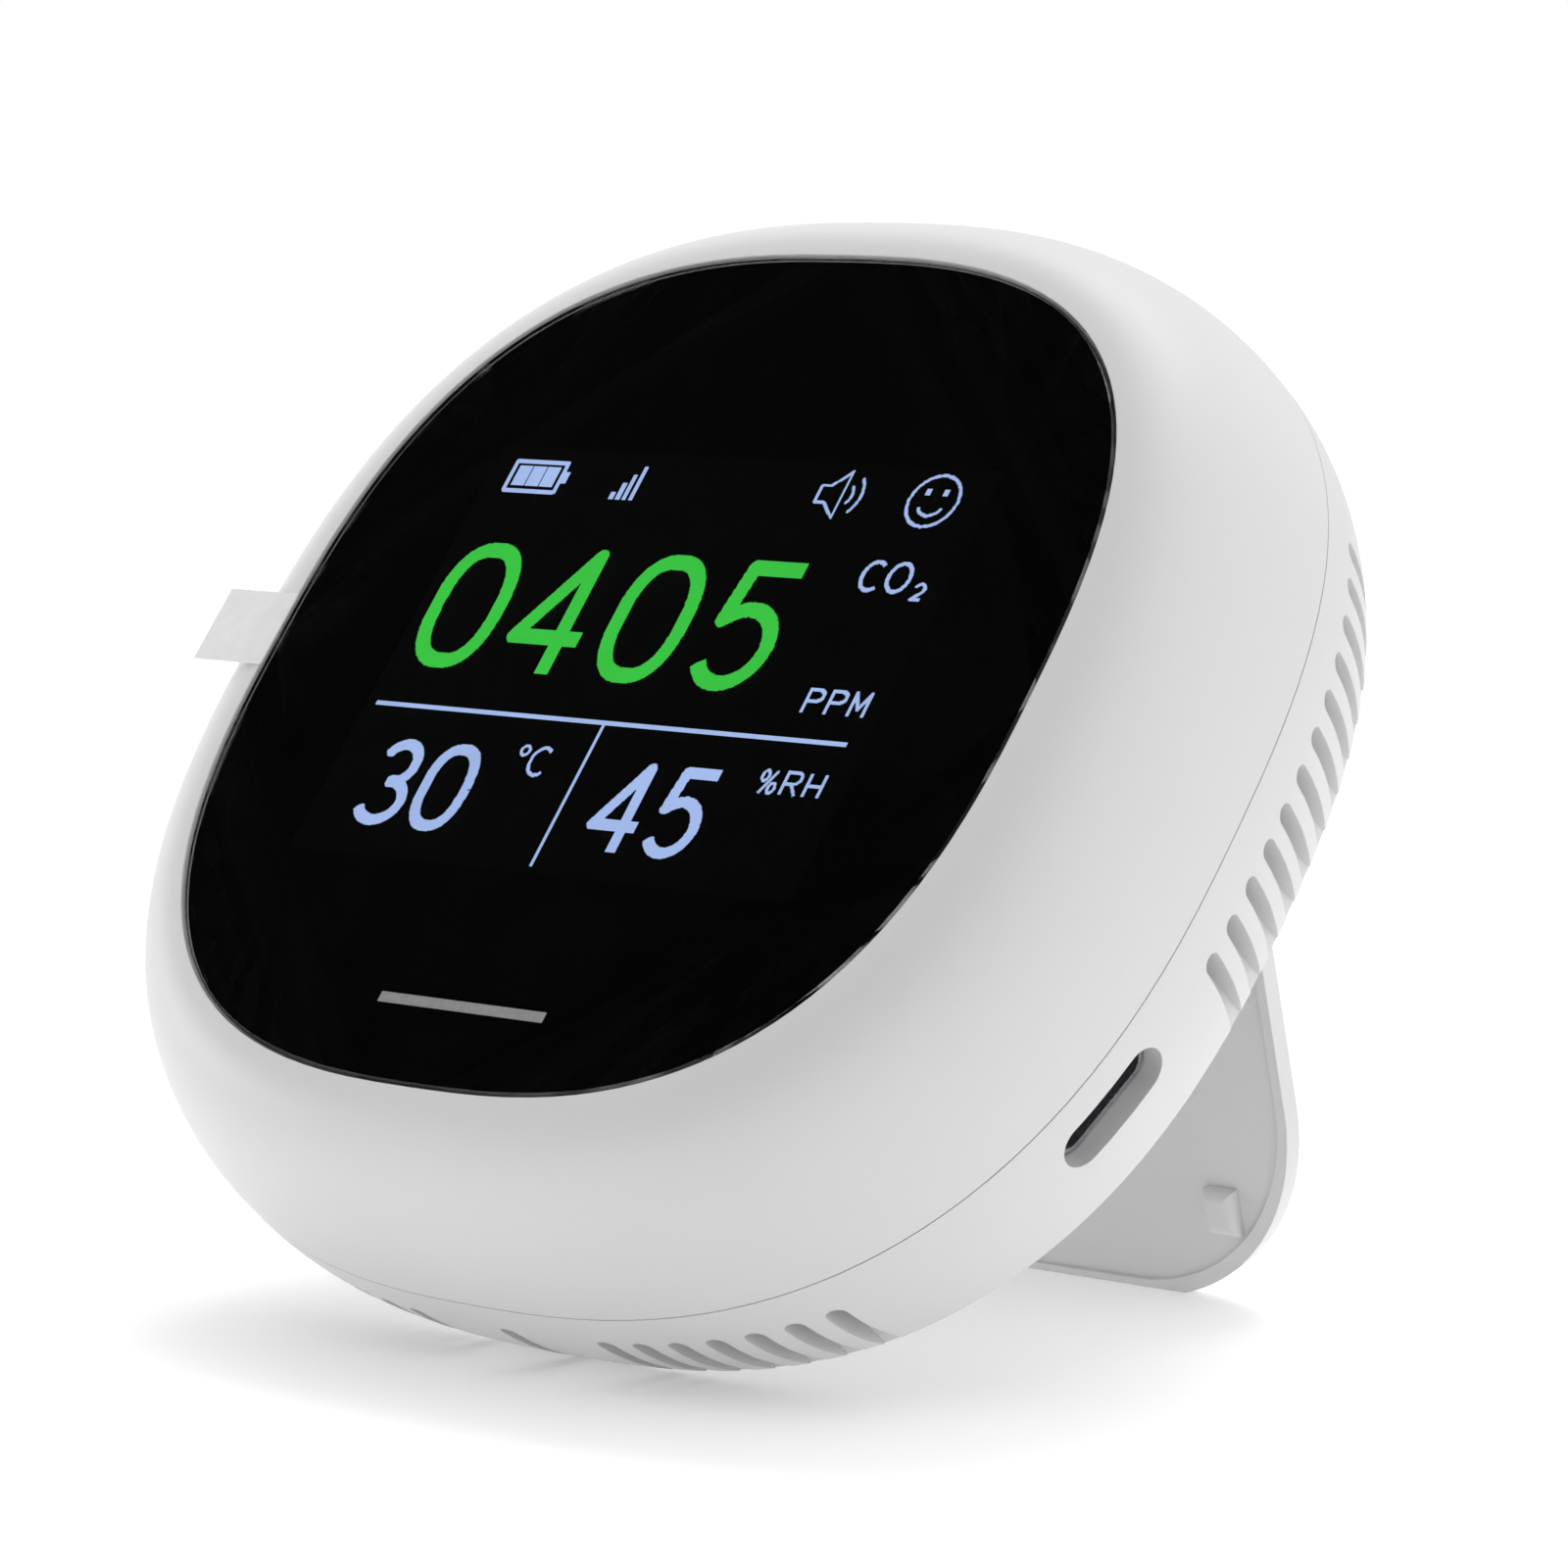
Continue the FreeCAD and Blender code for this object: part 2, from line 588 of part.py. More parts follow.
def lean_placement():
    """Case frame in the row frame, with the case's lower back edge on the table."""
    tilt = math.radians(90 - size.lean_angle)
    edge = size.back_edge_round
    shrink = size.seam_half - size.back_half + 4 * size.back_bulge
    slope = shrink / (size.back_depth - size.seam_depth - size.seam_gap / 2)
    centre = size.back_half + edge * (slope - math.hypot(1, slope))
    reach = centre * math.sin(tilt) + (size.back_depth - edge) * math.cos(tilt)
    return Placement(
        Vector(0, size.middle_back, reach + edge), Rotation(X_AXIS, math.degrees(tilt))
    )


def stand_opening(leaning):
    """Angle between the back of the case and the stand when its free edge is on the table."""
    hinge = leaning.multVec(Vector(0, size.hinge_up, -size.hinge_depth))
    steep = math.degrees(math.asin(hinge.z / size.stand_length))
    return 180 - steep - (90 - size.lean_angle)


LEANING = lean_placement()
OPENING = stand_opening(LEANING)
HINGE = Placement(Vector(0, size.hinge_up, -size.hinge_depth), Rotation())
STAND = LEANING.multiply(HINGE).multiply(Placement(Vector(), Rotation(X_AXIS, OPENING)))
BOARD_REAR = -size.board_depth - size.board_thick
PORT_SPOT = side_place(back_half_at(0.34), size.port_arc, -size.port_depth)
BUTTON_SPOT = side_place(back_half_at(0.34), -size.port_arc, -size.port_depth)


def seated(place, inset):
    """A side placement moved into the case by inset."""
    return place.multiply(Placement(Vector(-inset, 0, 0), Rotation()))


# ---- the case ------------------------------------------------------------------------------

def case_posts():
    return [(side * size.post_place, end * size.post_place) for side, end in QUARTERS]


def board_posts():
    sides = [(side * size.board_post_x, size.board_post_y) for side in SIDES]
    return sides + [(0.0, end * size.board_post_top) for end in SIDES]


def bracket_posts():
    return [(side * size.bracket_screw_x, end * size.bracket_screw_y) for side, end in QUARTERS]


def front_housing():
    """Domed white front shell with the seat for the glass and every post that faces back."""
    seam = -size.seam_depth + size.seam_gap / 2
    skin = loft(front_curve(size.rim_half, size.rim_lift, size.seam_half, seam))
    hollow = loft(
        front_curve(size.cavity_rim_half, -size.cavity_ceiling, size.cavity_seam_half, seam - 0.01)
    )
    lip_root = slab(size.lip_root_half, size.case_power, -size.lip_root_depth, seam)
    lip = slab(size.lip_half, size.case_power, -size.lip_root_depth, -size.lip_depth)
    lip_hole = slab(
        size.lip_inner_half, size.case_power, -size.lip_root_depth + 1, -size.lip_depth - 1
    )
    ring = lip_root.fuse(lip).cut(lip_hole)
    shell = skin.cut(hollow).fuse(ring)
    seat = slab(size.glass_half + size.glass_gap, size.glass_power, 2.0, -size.seat_depth)
    blank = shaped("front_shell", shell.cut(seat).removeSplitter())
    root = -size.cavity_ceiling + 0.3
    window = block(
        "display_window", "window_width", "window_height", "cavity_ceiling + 1",
        (0, 0), -size.cavity_ceiling - 0.5,
    )
    posts = []
    bores = []
    for number, spot in enumerate(case_posts()):
        posts.append(rod(f"front_post_{number}", "post_radius", "post_meet - cavity_ceiling + 0.3",
                         (*spot, root), -Z_AXIS))
        bores.append(rod(f"front_thread_{number}", "screw_radius + screw_play",
                         "screw_length - head_depth + post_meet + 0.5",
                         (*spot, -size.post_meet)))
    for number, spot in enumerate(board_posts()):
        posts.append(rod(f"board_post_{number}", "small_post_radius",
                         "board_depth - cavity_ceiling + 0.3 - 0.02", (*spot, root), -Z_AXIS))
        bores.append(rod(f"board_thread_{number}", "small_screw_radius + screw_play",
                         "small_screw_length - board_thick + 0.5",
                         (*spot, -size.board_depth)))
    bracket_front = size.lcd_depth + size.lcd_thick + size.backlight_thick + size.bracket_gap
    for number, spot in enumerate(bracket_posts()):
        posts.append(rod(f"bracket_post_{number}", "small_post_radius",
                         "lcd_depth + lcd_thick + backlight_thick + bracket_gap"
                         " - cavity_ceiling + 0.3 - 0.02", (*spot, root), -Z_AXIS))
        bores.append(rod(f"bracket_thread_{number}", "small_screw_radius + screw_play",
                         "short_screw_length - bracket_thick + 0.2",
                         (*spot, -bracket_front)))
    solid = fuse("front_shell_with_posts", blank, *posts)
    keep("front_housing", cut("front_housing_cut", solid, window, *bores), LEANING)


def vent_places():
    """Arc along the seam outline, from its bottom, of every vent."""
    bottom = [0.0]
    bottom += [side * size.vent_pitch * step for side in SIDES for step in range(3, 10)]
    first = quarter_arc() - size.side_vent_first
    sides = [side * (first + size.side_vent_pitch * step) for side in SIDES for step in range(12)]
    return bottom + sides


def vent_cutters():
    """A round-ended slot for each vent, open at the back so that the mould pulls straight."""
    radius = size.vent_width / 2
    reach = 8.0
    top = -size.vent_start - radius
    tail = size.back_depth + 2 + top
    cutters = []
    for arc in vent_places():
        place = side_place(size.vent_floor_half, arc, top)
        run = Part.makeBox(reach, size.vent_width, tail, Vector(0, -radius, -tail))
        end = Part.makeCylinder(radius, reach, Vector(), X_AXIS)
        cutter = run.fuse(end)
        cutter.Placement = place
        cutters.append(cutter)
    return shaped("vent_cutters", Part.makeCompound(cutters))


def stand_pocket():
    """Hollow in the back that the folded stand lies in."""
    body = new_body("stand_pocket")
    level = -size.back_depth - 1
    top = size.hinge_up + size.barrel_radius + size.stand_play
    sketch = tongue(body, "pocket_outline", level, top, "stand_half + stand_play",
                    "stand_length + stand_extra + barrel_radius + 2 * stand_play",
                    "stand_corner + stand_play")
    pad(body, sketch, "pocket_depth + 1")
    return body


def pocket_backing():
    """Thickened wall inside the case behind the stand's pocket."""
    body = new_body("pocket_backing")
    level = -size.back_depth + size.pocket_depth - 0.5
    top = size.hinge_up + size.barrel_radius + size.backing_head
    sketch = tongue(body, "backing_outline", level, top, "stand_half + backing_margin",
                    "stand_length + stand_extra + backing_head + backing_foot",
                    "stand_corner + backing_margin - 1")
    pad(body, sketch, "pocket_wall + 0.5")
    return body


def stop_tip():
    """Inner corner of a stop lug in the case frame when the stand is open."""
    corner = Vector(0, size.stop_reach, -size.stand_outer + size.stop_thick)
    return HINGE.multiply(Placement(Vector(), Rotation(X_AXIS, OPENING))).multVec(corner)


def stand_details():
    """Tools for the stop lugs, the catch bumps and the hinge pins in the pocket."""
    tools = []
    stop_roof = stop_tip().z + size.stop_gap
    well_top = size.hinge_up + size.stop_reach + 3 * size.stand_play
    well_foot = size.hinge_up - size.barrel_radius
    catch_up = size.hinge_up - size.stand_length + size.catch_from_edge
    for side in SIDES:
        well = doc.addObject("Part::Box", f"stop_well_{side + 1}")
        bind(well, Length="stop_width + 2 * stand_play",
             Width="stop_reach + barrel_radius + 3 * stand_play")
        well.Height = stop_roof + size.back_depth + 1
        well.Placement = Placement(
            Vector(side * size.stop_place - well.Length.Value / 2, well_top - well.Width.Value,
                   -size.back_depth - 1), Rotation())
        tools.append(well)
        tools.append(block(f"catch_socket_{side + 1}", "catch_width + 2 * stand_play",
                           "catch_length + 2 * stand_play", "catch_socket + 1",
                           (side * size.catch_place, catch_up),
                           -size.back_depth + size.pocket_depth - 1))
        start = size.stand_half + size.stand_play - 0.1
        tools.append(rod(f"pin_bore_{side + 1}", "pin_stub_bore", "pin_stub_out + 0.35",
                         (side * start, size.hinge_up, -size.hinge_depth), X_AXIS * side))
    half = size.stand_half + size.stand_play
    tools.append(rod("barrel_groove", "barrel_radius + stand_play",
                     "2 * ( stand_half + stand_play )",
                     (-half, size.hinge_up, -size.hinge_depth), X_AXIS))
    return tools


def pin_bosses():
    """Extra wall round the hinge pins' bores, inside the case."""
    return [
        block(f"pin_boss_{side + 1}", "pin_boss_size", "pin_boss_size", "pin_boss_thick",
              (side * (size.stand_half + 3), size.hinge_up), -size.cavity_floor - 0.5)
        for side in SIDES
    ]


def rear_housing():
    """Rear shell: vents, port, button and screw holes, and the pocket for the stand."""
    start = -size.seam_depth - size.seam_gap / 2
    back = -size.back_depth
    shares = [step / (BACK_SECTIONS - 1) for step in range(BACK_SECTIONS)]
    skin = loft([(back_half_at(share), start + (back - start) * share) for share in shares])
    rim = [edge for edge in skin.Edges if abs(edge.CenterOfMass.z - back) < 1e-3]
    skin = skin.makeFillet(size.back_edge_round, rim)
    hollow = loft(
        [
            (size.cavity_seam_half, start + 0.01),
            (size.cavity_foot_half, -size.cavity_foot_depth),
            (size.cavity_floor_half, -size.cavity_floor),
        ],
        straight=True,
    )
    blank = shaped("rear_shell", skin.cut(hollow))
    posts = [
        rod(f"rear_post_{number}", "post_radius", "back_depth - post_meet - 0.05 - 1",
            (*spot, back + 1))
        for number, spot in enumerate(case_posts())
    ]
    solid = fuse("rear_shell_with_posts", blank, pocket_backing(), *posts, *pin_bosses())
    holes = []
    for number, spot in enumerate(case_posts()):
        holes.append(rod(f"rear_hole_{number}", "screw_hole", "back_depth - post_meet + 2",
                         (*spot, back - 1)))
        holes.append(rod(f"head_well_{number}", "head_well", "back_depth - head_depth + 1",
                         (*spot, back - 1)))
    port_hole = stadium("port_hole", "8", "port_hole_width", "port_hole_height", 4.0)
    port_hole.Placement = PORT_SPOT
    button_hole = stadium("button_hole", "8", "port_hole_width", "port_hole_height", 4.0)
    button_hole.Placement = BUTTON_SPOT
    keep(
        "rear_housing",
        cut("rear_housing_cut", solid, stand_pocket(), vent_cutters(), port_hole, button_hole,
            *stand_details(), *holes),
        LEANING,
    )


def housing_screws():
    screws = [
        screw(f"case_screw_{number}", spot, -size.head_depth, "screw_radius", "screw_length",
              "head_radius", "head_height")
        for number, spot in enumerate(case_posts())
    ]
    keep("housing_screws", group("case_screws", *screws), LEANING)


def vent_screens():
    """Strips of fine dust screen behind the vents of the two sides and the bottom."""
    fall = size.cavity_foot_depth - size.seam_depth
    slope = (size.cavity_foot_half - size.cavity_seam_half) / fall

    def ring(inset):
        return loft(
            [
                (size.cavity_seam_half + slope * (depth - size.seam_depth) - inset, -depth)
                for depth in (size.screen_top, size.screen_foot)
            ],
            straight=True,
        )

    strip = ring(size.screen_gap).cut(ring(size.screen_gap + size.screen_thick))
    side_reach = size.vent_pitch * 9
    below = size.side_vent_first + 2
    tall = 20.0
    far = 50.0
    windows = [
        Part.makeBox(far, side_reach + below, tall, Vector(20, -below, -30)),
        Part.makeBox(far, side_reach + below, tall, Vector(-20 - far, -below, -30)),
        Part.makeBox(2 * side_reach + 2, far, tall, Vector(-side_reach - 1, -20 - far, -30)),
    ]
    pieces = [strip.common(window) for window in windows]
    solids = [solid for piece in pieces for solid in piece.Solids]
    keep("vent_screens", shaped("screen_strips", Part.makeCompound(solids)), LEANING)


# ---- glass and display ---------------------------------------------------------------------

def cover_glass():
    """Front glass with a ground edge."""
    pane = slab(size.glass_half, size.glass_power, 0.0, -size.glass_thick)
    front = [edge for edge in pane.Edges if abs(edge.CenterOfMass.z) < 1e-3]
    pane = pane.makeChamfer(size.glass_edge, [edge for edge in front if edge.Length > 50])
    keep("cover_glass", shaped("glass_pane", pane), LEANING)


def black_mask():
    """Black printed mask behind the glass, clear over the display."""
    rear = -size.glass_thick - size.mask_thick
    sheet_shape = slab(size.mask_half, size.glass_power, -size.glass_thick, rear)
    view = block("mask_view", "view_width", "view_height", "1", (0, 0), rear - 0.5)
    keep("black_mask", cut("mask_cut", shaped("mask_sheet", sheet_shape), view), LEANING)


def glass_tape():
    """Ring of tape that holds the glass on its seat."""
    front = -size.glass_thick - size.mask_thick
    ring = slab(size.mask_half, size.glass_power, front, -size.seat_depth)
    hole = block("tape_hole", "window_width + 1", "window_height + 1", "2", (0, 0), -2)
    keep("glass_tape", cut("tape_cut", shaped("tape_ring", ring), hole), LEANING)


def protective_film():
    """Clear peel-off film over the glass, with a pull tab on the left."""
    rear = size.film_gap
    cover = slab(size.film_half, size.glass_power, rear + size.film_thick, rear)
    length = size.tab_reach - size.film_half + 4
    tab = Part.makeBox(
        length, size.tab_width, size.film_thick, Vector(-size.tab_reach, -size.tab_width / 2, rear)
    )
    film = cover.fuse(tab).removeSplitter()
    keep("protective_film", shaped("film_sheet", film), LEANING)


def slim_body(node, name, width, height, thick, middle, rear, corner):
    """Flat rectangular piece with rounded corners."""
    body = new_body(name)
    sketch = rectangle(body, name + "_outline", "XY_Plane", rear, middle, width, height)
    raised = pad(body, sketch, thick)
    round_edges(body, name + "_corners", raised, corner, lambda edge: along(edge, Z_AXIS))
    return keep(node, body, LEANING)


def display():
    """Panel, backlight and the bracket that presses them against the glass."""
    panel_rear = -size.lcd_depth - size.lcd_thick
    light_rear = panel_rear - size.backlight_thick
    slim_body("lcd_panel", "panel", "lcd_width", "lcd_height", "lcd_thick", (0, 0),
              panel_rear, "0.4")
    slim_body("lcd_backlight", "backlight", "lcd_width", "lcd_height - backlight_trim",
              "backlight_thick", (0, size.backlight_trim / 2), light_rear, "0.4")
    body = new_body("bracket")
    rear = light_rear - size.bracket_gap - size.bracket_thick
    sketch = rectangle(body, "bracket_outline", "XY_Plane", rear, (0, 0),
                       "bracket_width", "bracket_height")
    plate = pad(body, sketch, "bracket_thick")
    round_edges(body, "bracket_corners", plate, "bracket_corner",
                lambda edge: along(edge, Z_AXIS))
    opening = rectangle(body, "bracket_opening", "XY_Plane", rear - 1, (0, 0),
                        "bracket_open_width", "bracket_open_height")
    pocket(body, opening, "bracket_thick + 2", forwards=True)
    for number, spot in enumerate(bracket_posts()):
        hole = circle(body, f"bracket_hole_{number}", "XY_Plane", rear - 1, spot,
                      "small_screw_radius + 0.15")
        pocket(body, hole, "bracket_thick + 2", forwards=True)
    keep("display_bracket", body, LEANING)
    screws = [
        screw(f"bracket_screw_{number}", spot, rear, "small_screw_radius", "short_screw_length",
              "small_head_radius", "small_head_height")
        for number, spot in enumerate(bracket_posts())
    ]
    keep("bracket_screws", group("bracket_screw_group", *screws), LEANING)


def ribbon():
    """Flat cable that folds round the display's foot and runs back to the main board."""
    bend = size.ribbon_bend
    thick = size.ribbon_thick
    start = Vector(0, -size.lcd_height / 2, -size.lcd_depth - size.lcd_thick / 2)
    plug_level = -size.board_depth + size.ribbon_plug_height / 2
    plug_edge = -size.lcd_height / 2 - 5.0

    def edge(offset):
        """One side of the cable, as lines and quarter turns at the given offset."""
        fold = bend + thick / 2 - offset
        back = bend + thick / 2 + offset
        first = Vector(0, start.y, start.z - offset)
        centre = Vector(0, start.y, start.z - bend - thick / 2)
        down = Vector(0, centre.y - fold, centre.z)
        turn = Vector(0, centre.y - (bend + thick / 2) * 2, plug_level + bend + thick / 2)
        low = Vector(0, down.y, turn.z)
        out = Vector(0, turn.y, turn.z - back)
        last = Vector(0, plug_edge, out.z)
        slant = math.sqrt(0.5)
        fold_middle = centre + Vector(0, -fold * slant, fold * slant)
        turn_middle = turn + Vector(0, back * slant, -back * slant)
        return [
            Part.Arc(first, fold_middle, down).toShape(),
            Part.LineSegment(down, low).toShape(),
            Part.Arc(low, turn_middle, out).toShape(),
            Part.LineSegment(out, last).toShape(),
        ]

    near = edge(thick / 2)
    far = edge(-thick / 2)
    caps = [
        Part.LineSegment(near[0].firstVertex().Point, far[0].firstVertex().Point).toShape(),
        Part.LineSegment(near[-1].lastVertex().Point, far[-1].lastVertex().Point).toShape(),
    ]
    wire = Part.Wire(Part.__sortEdges__(near + far + caps))
    strip = Part.Face(wire).extrude(Vector(size.ribbon_width, 0, 0))
    strip.translate(Vector(-size.ribbon_width / 2, 0, 0))
    keep("lcd_ribbon", shaped("ribbon_strip", strip), LEANING)
    middle = plug_edge - size.ribbon_plug_length / 2
    keep("ribbon_connector",
         block("ribbon_plug", "ribbon_plug_width", "ribbon_plug_length", "ribbon_plug_height",
               (0, middle), -size.board_depth), LEANING)


# ---- main board and what is on it ----------------------------------------------------------

SENSOR_MIDDLE = (14.5, 0.0)
CELL_MIDDLE = (-16.0, 2.0)


def sensor_pin_spots():
    """Two rows of pins at the ends of the gas sensor board."""
    x, y = SENSOR_MIDDLE
    reach = size.sensor_height / 2 - 1.3
    return [
        (x + size.pin_pitch * (number - 1.5), y + end * reach)
        for end in SIDES for number in range(4)
    ]


def main_board():
    """Round-cornered board that carries everything electrical."""
    outline_shape = slab(size.board_half, size.case_power, -size.board_depth, BOARD_REAR)
    tools = []
    for number, spot in enumerate(case_posts()):
        tools.append(rod(f"board_notch_{number}", "board_notch", "4", (*spot, BOARD_REAR - 1)))
    for number, spot in enumerate(board_posts()):
        tools.append(rod(f"board_hole_{number}", "small_screw_radius + 0.15", "4",
                         (*spot, BOARD_REAR - 1)))
    for number, spot in enumerate(sensor_pin_spots()):
        tools.append(rod(f"board_pin_hole_{number}", "pin_hole", "4", (*spot, BOARD_REAR - 1)))
    notch = bar("button_notch", "8", "13", "8", 2.4)
    notch.Placement = BUTTON_SPOT.multiply(notch.Placement)
    keep("main_board", cut("board_cut", shaped("board_blank", outline_shape), notch, *tools),
         LEANING)
    screws = [
        screw(f"board_screw_{number}", spot, BOARD_REAR, "small_screw_radius",
              "small_screw_length", "small_head_radius", "small_head_height")
        for number, spot in enumerate(board_posts())
    ]
    keep("board_screws", group("board_screw_group", *screws), LEANING)


def gas_sensor():
    """Infrared gas sensor: its board, its gold chamber, its dust membrane and its pins."""
    x, y = SENSOR_MIDDLE
    board_rear = -size.board_depth + size.sensor_stand_off
    slim_body("sensor_board", "gas_board", "sensor_width", "sensor_height",
              "sensor_board_thick", (x, y), board_rear, "0.6")
    chamber_rear = board_rear + size.sensor_board_thick
    body = new_body("gas_chamber")
    sketch = rectangle(body, "chamber_outline", "XY_Plane", chamber_rear, (x, y),
                       "chamber_width", "chamber_height")
    raised = pad(body, sketch, "chamber_thick")
    front = chamber_rear + size.chamber_thick

    def outer(edge):
        return edge.BoundBox.ZMax > front - 0.01

    round_edges(body, "chamber_rounding", raised, "chamber_round", outer)
    keep("sensor_chamber", body, LEANING)
    keep("sensor_membrane",
         block("gas_membrane", "membrane_width", "membrane_height", "membrane_thick", (x, y),
               front), LEANING)
    pins = [
        rod(f"sensor_pin_{number}", "pin_radius", "pin_length", (*spot, board_rear), -Z_AXIS)
        for number, spot in enumerate(sensor_pin_spots())
    ]
    keep("sensor_pins", group("sensor_pin_group", *pins), LEANING)


def battery():
    """Pouch cell on foam tape, with its leads, plug and socket."""
    x, y = CELL_MIDDLE
    front = -size.board_depth
    keep("battery_tape",
         block("foam_tape", "cell_width - 6", "cell_height - 8", "cell_tape", (x, y), front),
         LEANING)
    body = new_body("pouch_cell")
    rear = front + size.cell_tape
    sketch = rectangle(body, "cell_outline", "XY_Plane", rear, (x, y), "cell_width", "cell_height")
    raised = pad(body, sketch, "cell_thick")
    round_edges(body, "cell_rounding", raised, "cell_round",
                lambda edge: along(edge, Vector(0, 1, 0)))
    keep("battery_cell", body, LEANING)
    top = y + size.cell_height / 2
    lead_level = front + size.plug_height / 2
    leads = [
        rod(f"lead_{side + 1}", "lead_radius", "lead_length", (x + side * 1.25, top, lead_level),
            Vector(0, 1, 0))
        for side in SIDES
    ]
    keep("battery_leads", group("lead_pair", *leads), LEANING)
    plug_middle = (x, top + size.lead_length + size.plug_length / 2)
    keep("battery_plug",
         block("plug", "plug_width", "plug_length", "plug_height - 1.2", plug_middle, front + 0.6),
         LEANING)
    wall = block("socket_wall", "socket_width", "socket_length", "plug_height",
                 (x, plug_middle[1] + 0.5), front)
    hollow = block("socket_hollow", "plug_width + 0.1", "plug_length + 0.04", "plug_height - 1.1",
                   plug_middle, front + 0.55)
    keep("battery_socket", cut("socket_cut", wall, hollow), LEANING)


def rear_components():
    """Everything that is soldered to the back of the main board."""
    keep("temp_humidity_sensor",
         block("climate_sensor", "climate_size", "climate_size", "climate_thick", (18, -30),
               BOARD_REAR - size.climate_thick), LEANING)
    radio = (13.0, 25.5)
    radio_rear = BOARD_REAR - size.radio_thick
    keep("wireless_module",
         block("radio_board", "radio_width", "radio_height", "radio_thick", radio, radio_rear),
         LEANING)
    shield_spot = (radio[0], radio[1] - 2)
    shield_rear = radio_rear - size.shield_thick
    can = block("shield_can", "shield_width", "shield_height", "shield_thick", shield_spot,
                shield_rear)
    inside = block("shield_inside", "shield_width - 2 * shield_wall",
                   "shield_height - 2 * shield_wall", "shield_thick", shield_spot,
                   shield_rear + size.shield_wall)
    keep("wireless_shield", cut("shield_cut", can, inside), LEANING)
    chips = [
        block("processor", "7", "7", "chip_thick", (-4, -8), BOARD_REAR - size.chip_thick),
        block("memory", "5", "4", "chip_thick", (6, -9), BOARD_REAR - size.chip_thick),
        block("charger", "3", "3", "chip_thick", (21, -14), BOARD_REAR - size.chip_thick),
        block("coil", "4", "4", "chip_thick * 2", (20, -8), BOARD_REAR - 2 * size.chip_thick),
    ]
    keep("board_chips", group("chip_group", *chips), LEANING)
    spot = (-14.0, 20.0)
    can = rod("buzzer_can", "buzzer_radius", "buzzer_height", (*spot, BOARD_REAR), -Z_AXIS)
    hole = rod("buzzer_sound_hole", "buzzer_hole", "1.5",
               (*spot, BOARD_REAR - size.buzzer_height - 0.5))
    keep("alarm_buzzer", cut("buzzer_cut", can, hole), LEANING)


def charging_port():
    """Oval steel socket shell and its plastic tongue."""
    place = LEANING.multiply(seated(PORT_SPOT, size.port_recess))
    outer = stadium("port_outer", "port_length", "port_width", "port_height", 0.0)
    mouth = stadium("port_mouth", "mouth_depth + 1", "port_width - 2 * port_wall",
                    "port_height - 2 * port_wall", 1.0)
    keep("usb_shell", cut("port_shell", outer, mouth), place)
    tip = size.tongue_length - size.mouth_depth
    blade = bar("tongue_blade", "tongue_length", "tongue_width", "tongue_thick", tip)
    keep("usb_tongue", blade, place)


def power_button():
    """Button cap, its switch and the switch's plunger."""
    place = LEANING.multiply(BUTTON_SPOT)
    cap = stadium("button_cap", "button_length", "port_hole_width - 2 * button_play",
                  "port_hole_height - 2 * button_play", size.button_proud)
    back = size.button_proud - size.button_length
    ears = bar("button_ears", "button_ear_thick", "port_hole_width + 2 * button_ear",
               "port_hole_height - 2 * button_play", back + size.button_ear_thick)
    stem = bar("button_stem", "button_stem_length", "button_stem", "button_stem", back)
    keep("power_button", fuse("button_solid", cap, ears, stem), place)
    tip = back - size.button_stem_length - 0.05
    plunger = bar("plunger_bar", "plunger_length", "plunger_width", "plunger_height", tip)
    keep("switch_plunger", plunger, place)
    front = tip - 1.2
    case = bar("switch_case", "switch_length", "switch_width", "switch_height", front)
    bore = bar("switch_bore", "plunger_length", "plunger_width + 2 * plunger_play",
               "plunger_height + 2 * plunger_play", front + 0.5)
    keep("switch_body", cut("switch_cut", case, bore), place)


# ---- stand ---------------------------------------------------------------------------------

def foot_line():
    """Where the table crosses the stand: distance along it at two levels of its thickness."""
    origin = STAND.Base.z
    rise_along = STAND.Rotation.multVec(Vector(0, 1, 0)).z
    rise_out = STAND.Rotation.multVec(Z_AXIS).z
    return [(-(origin + rise_out * level) / rise_along, level) for level in (-3.0, 3.0)]


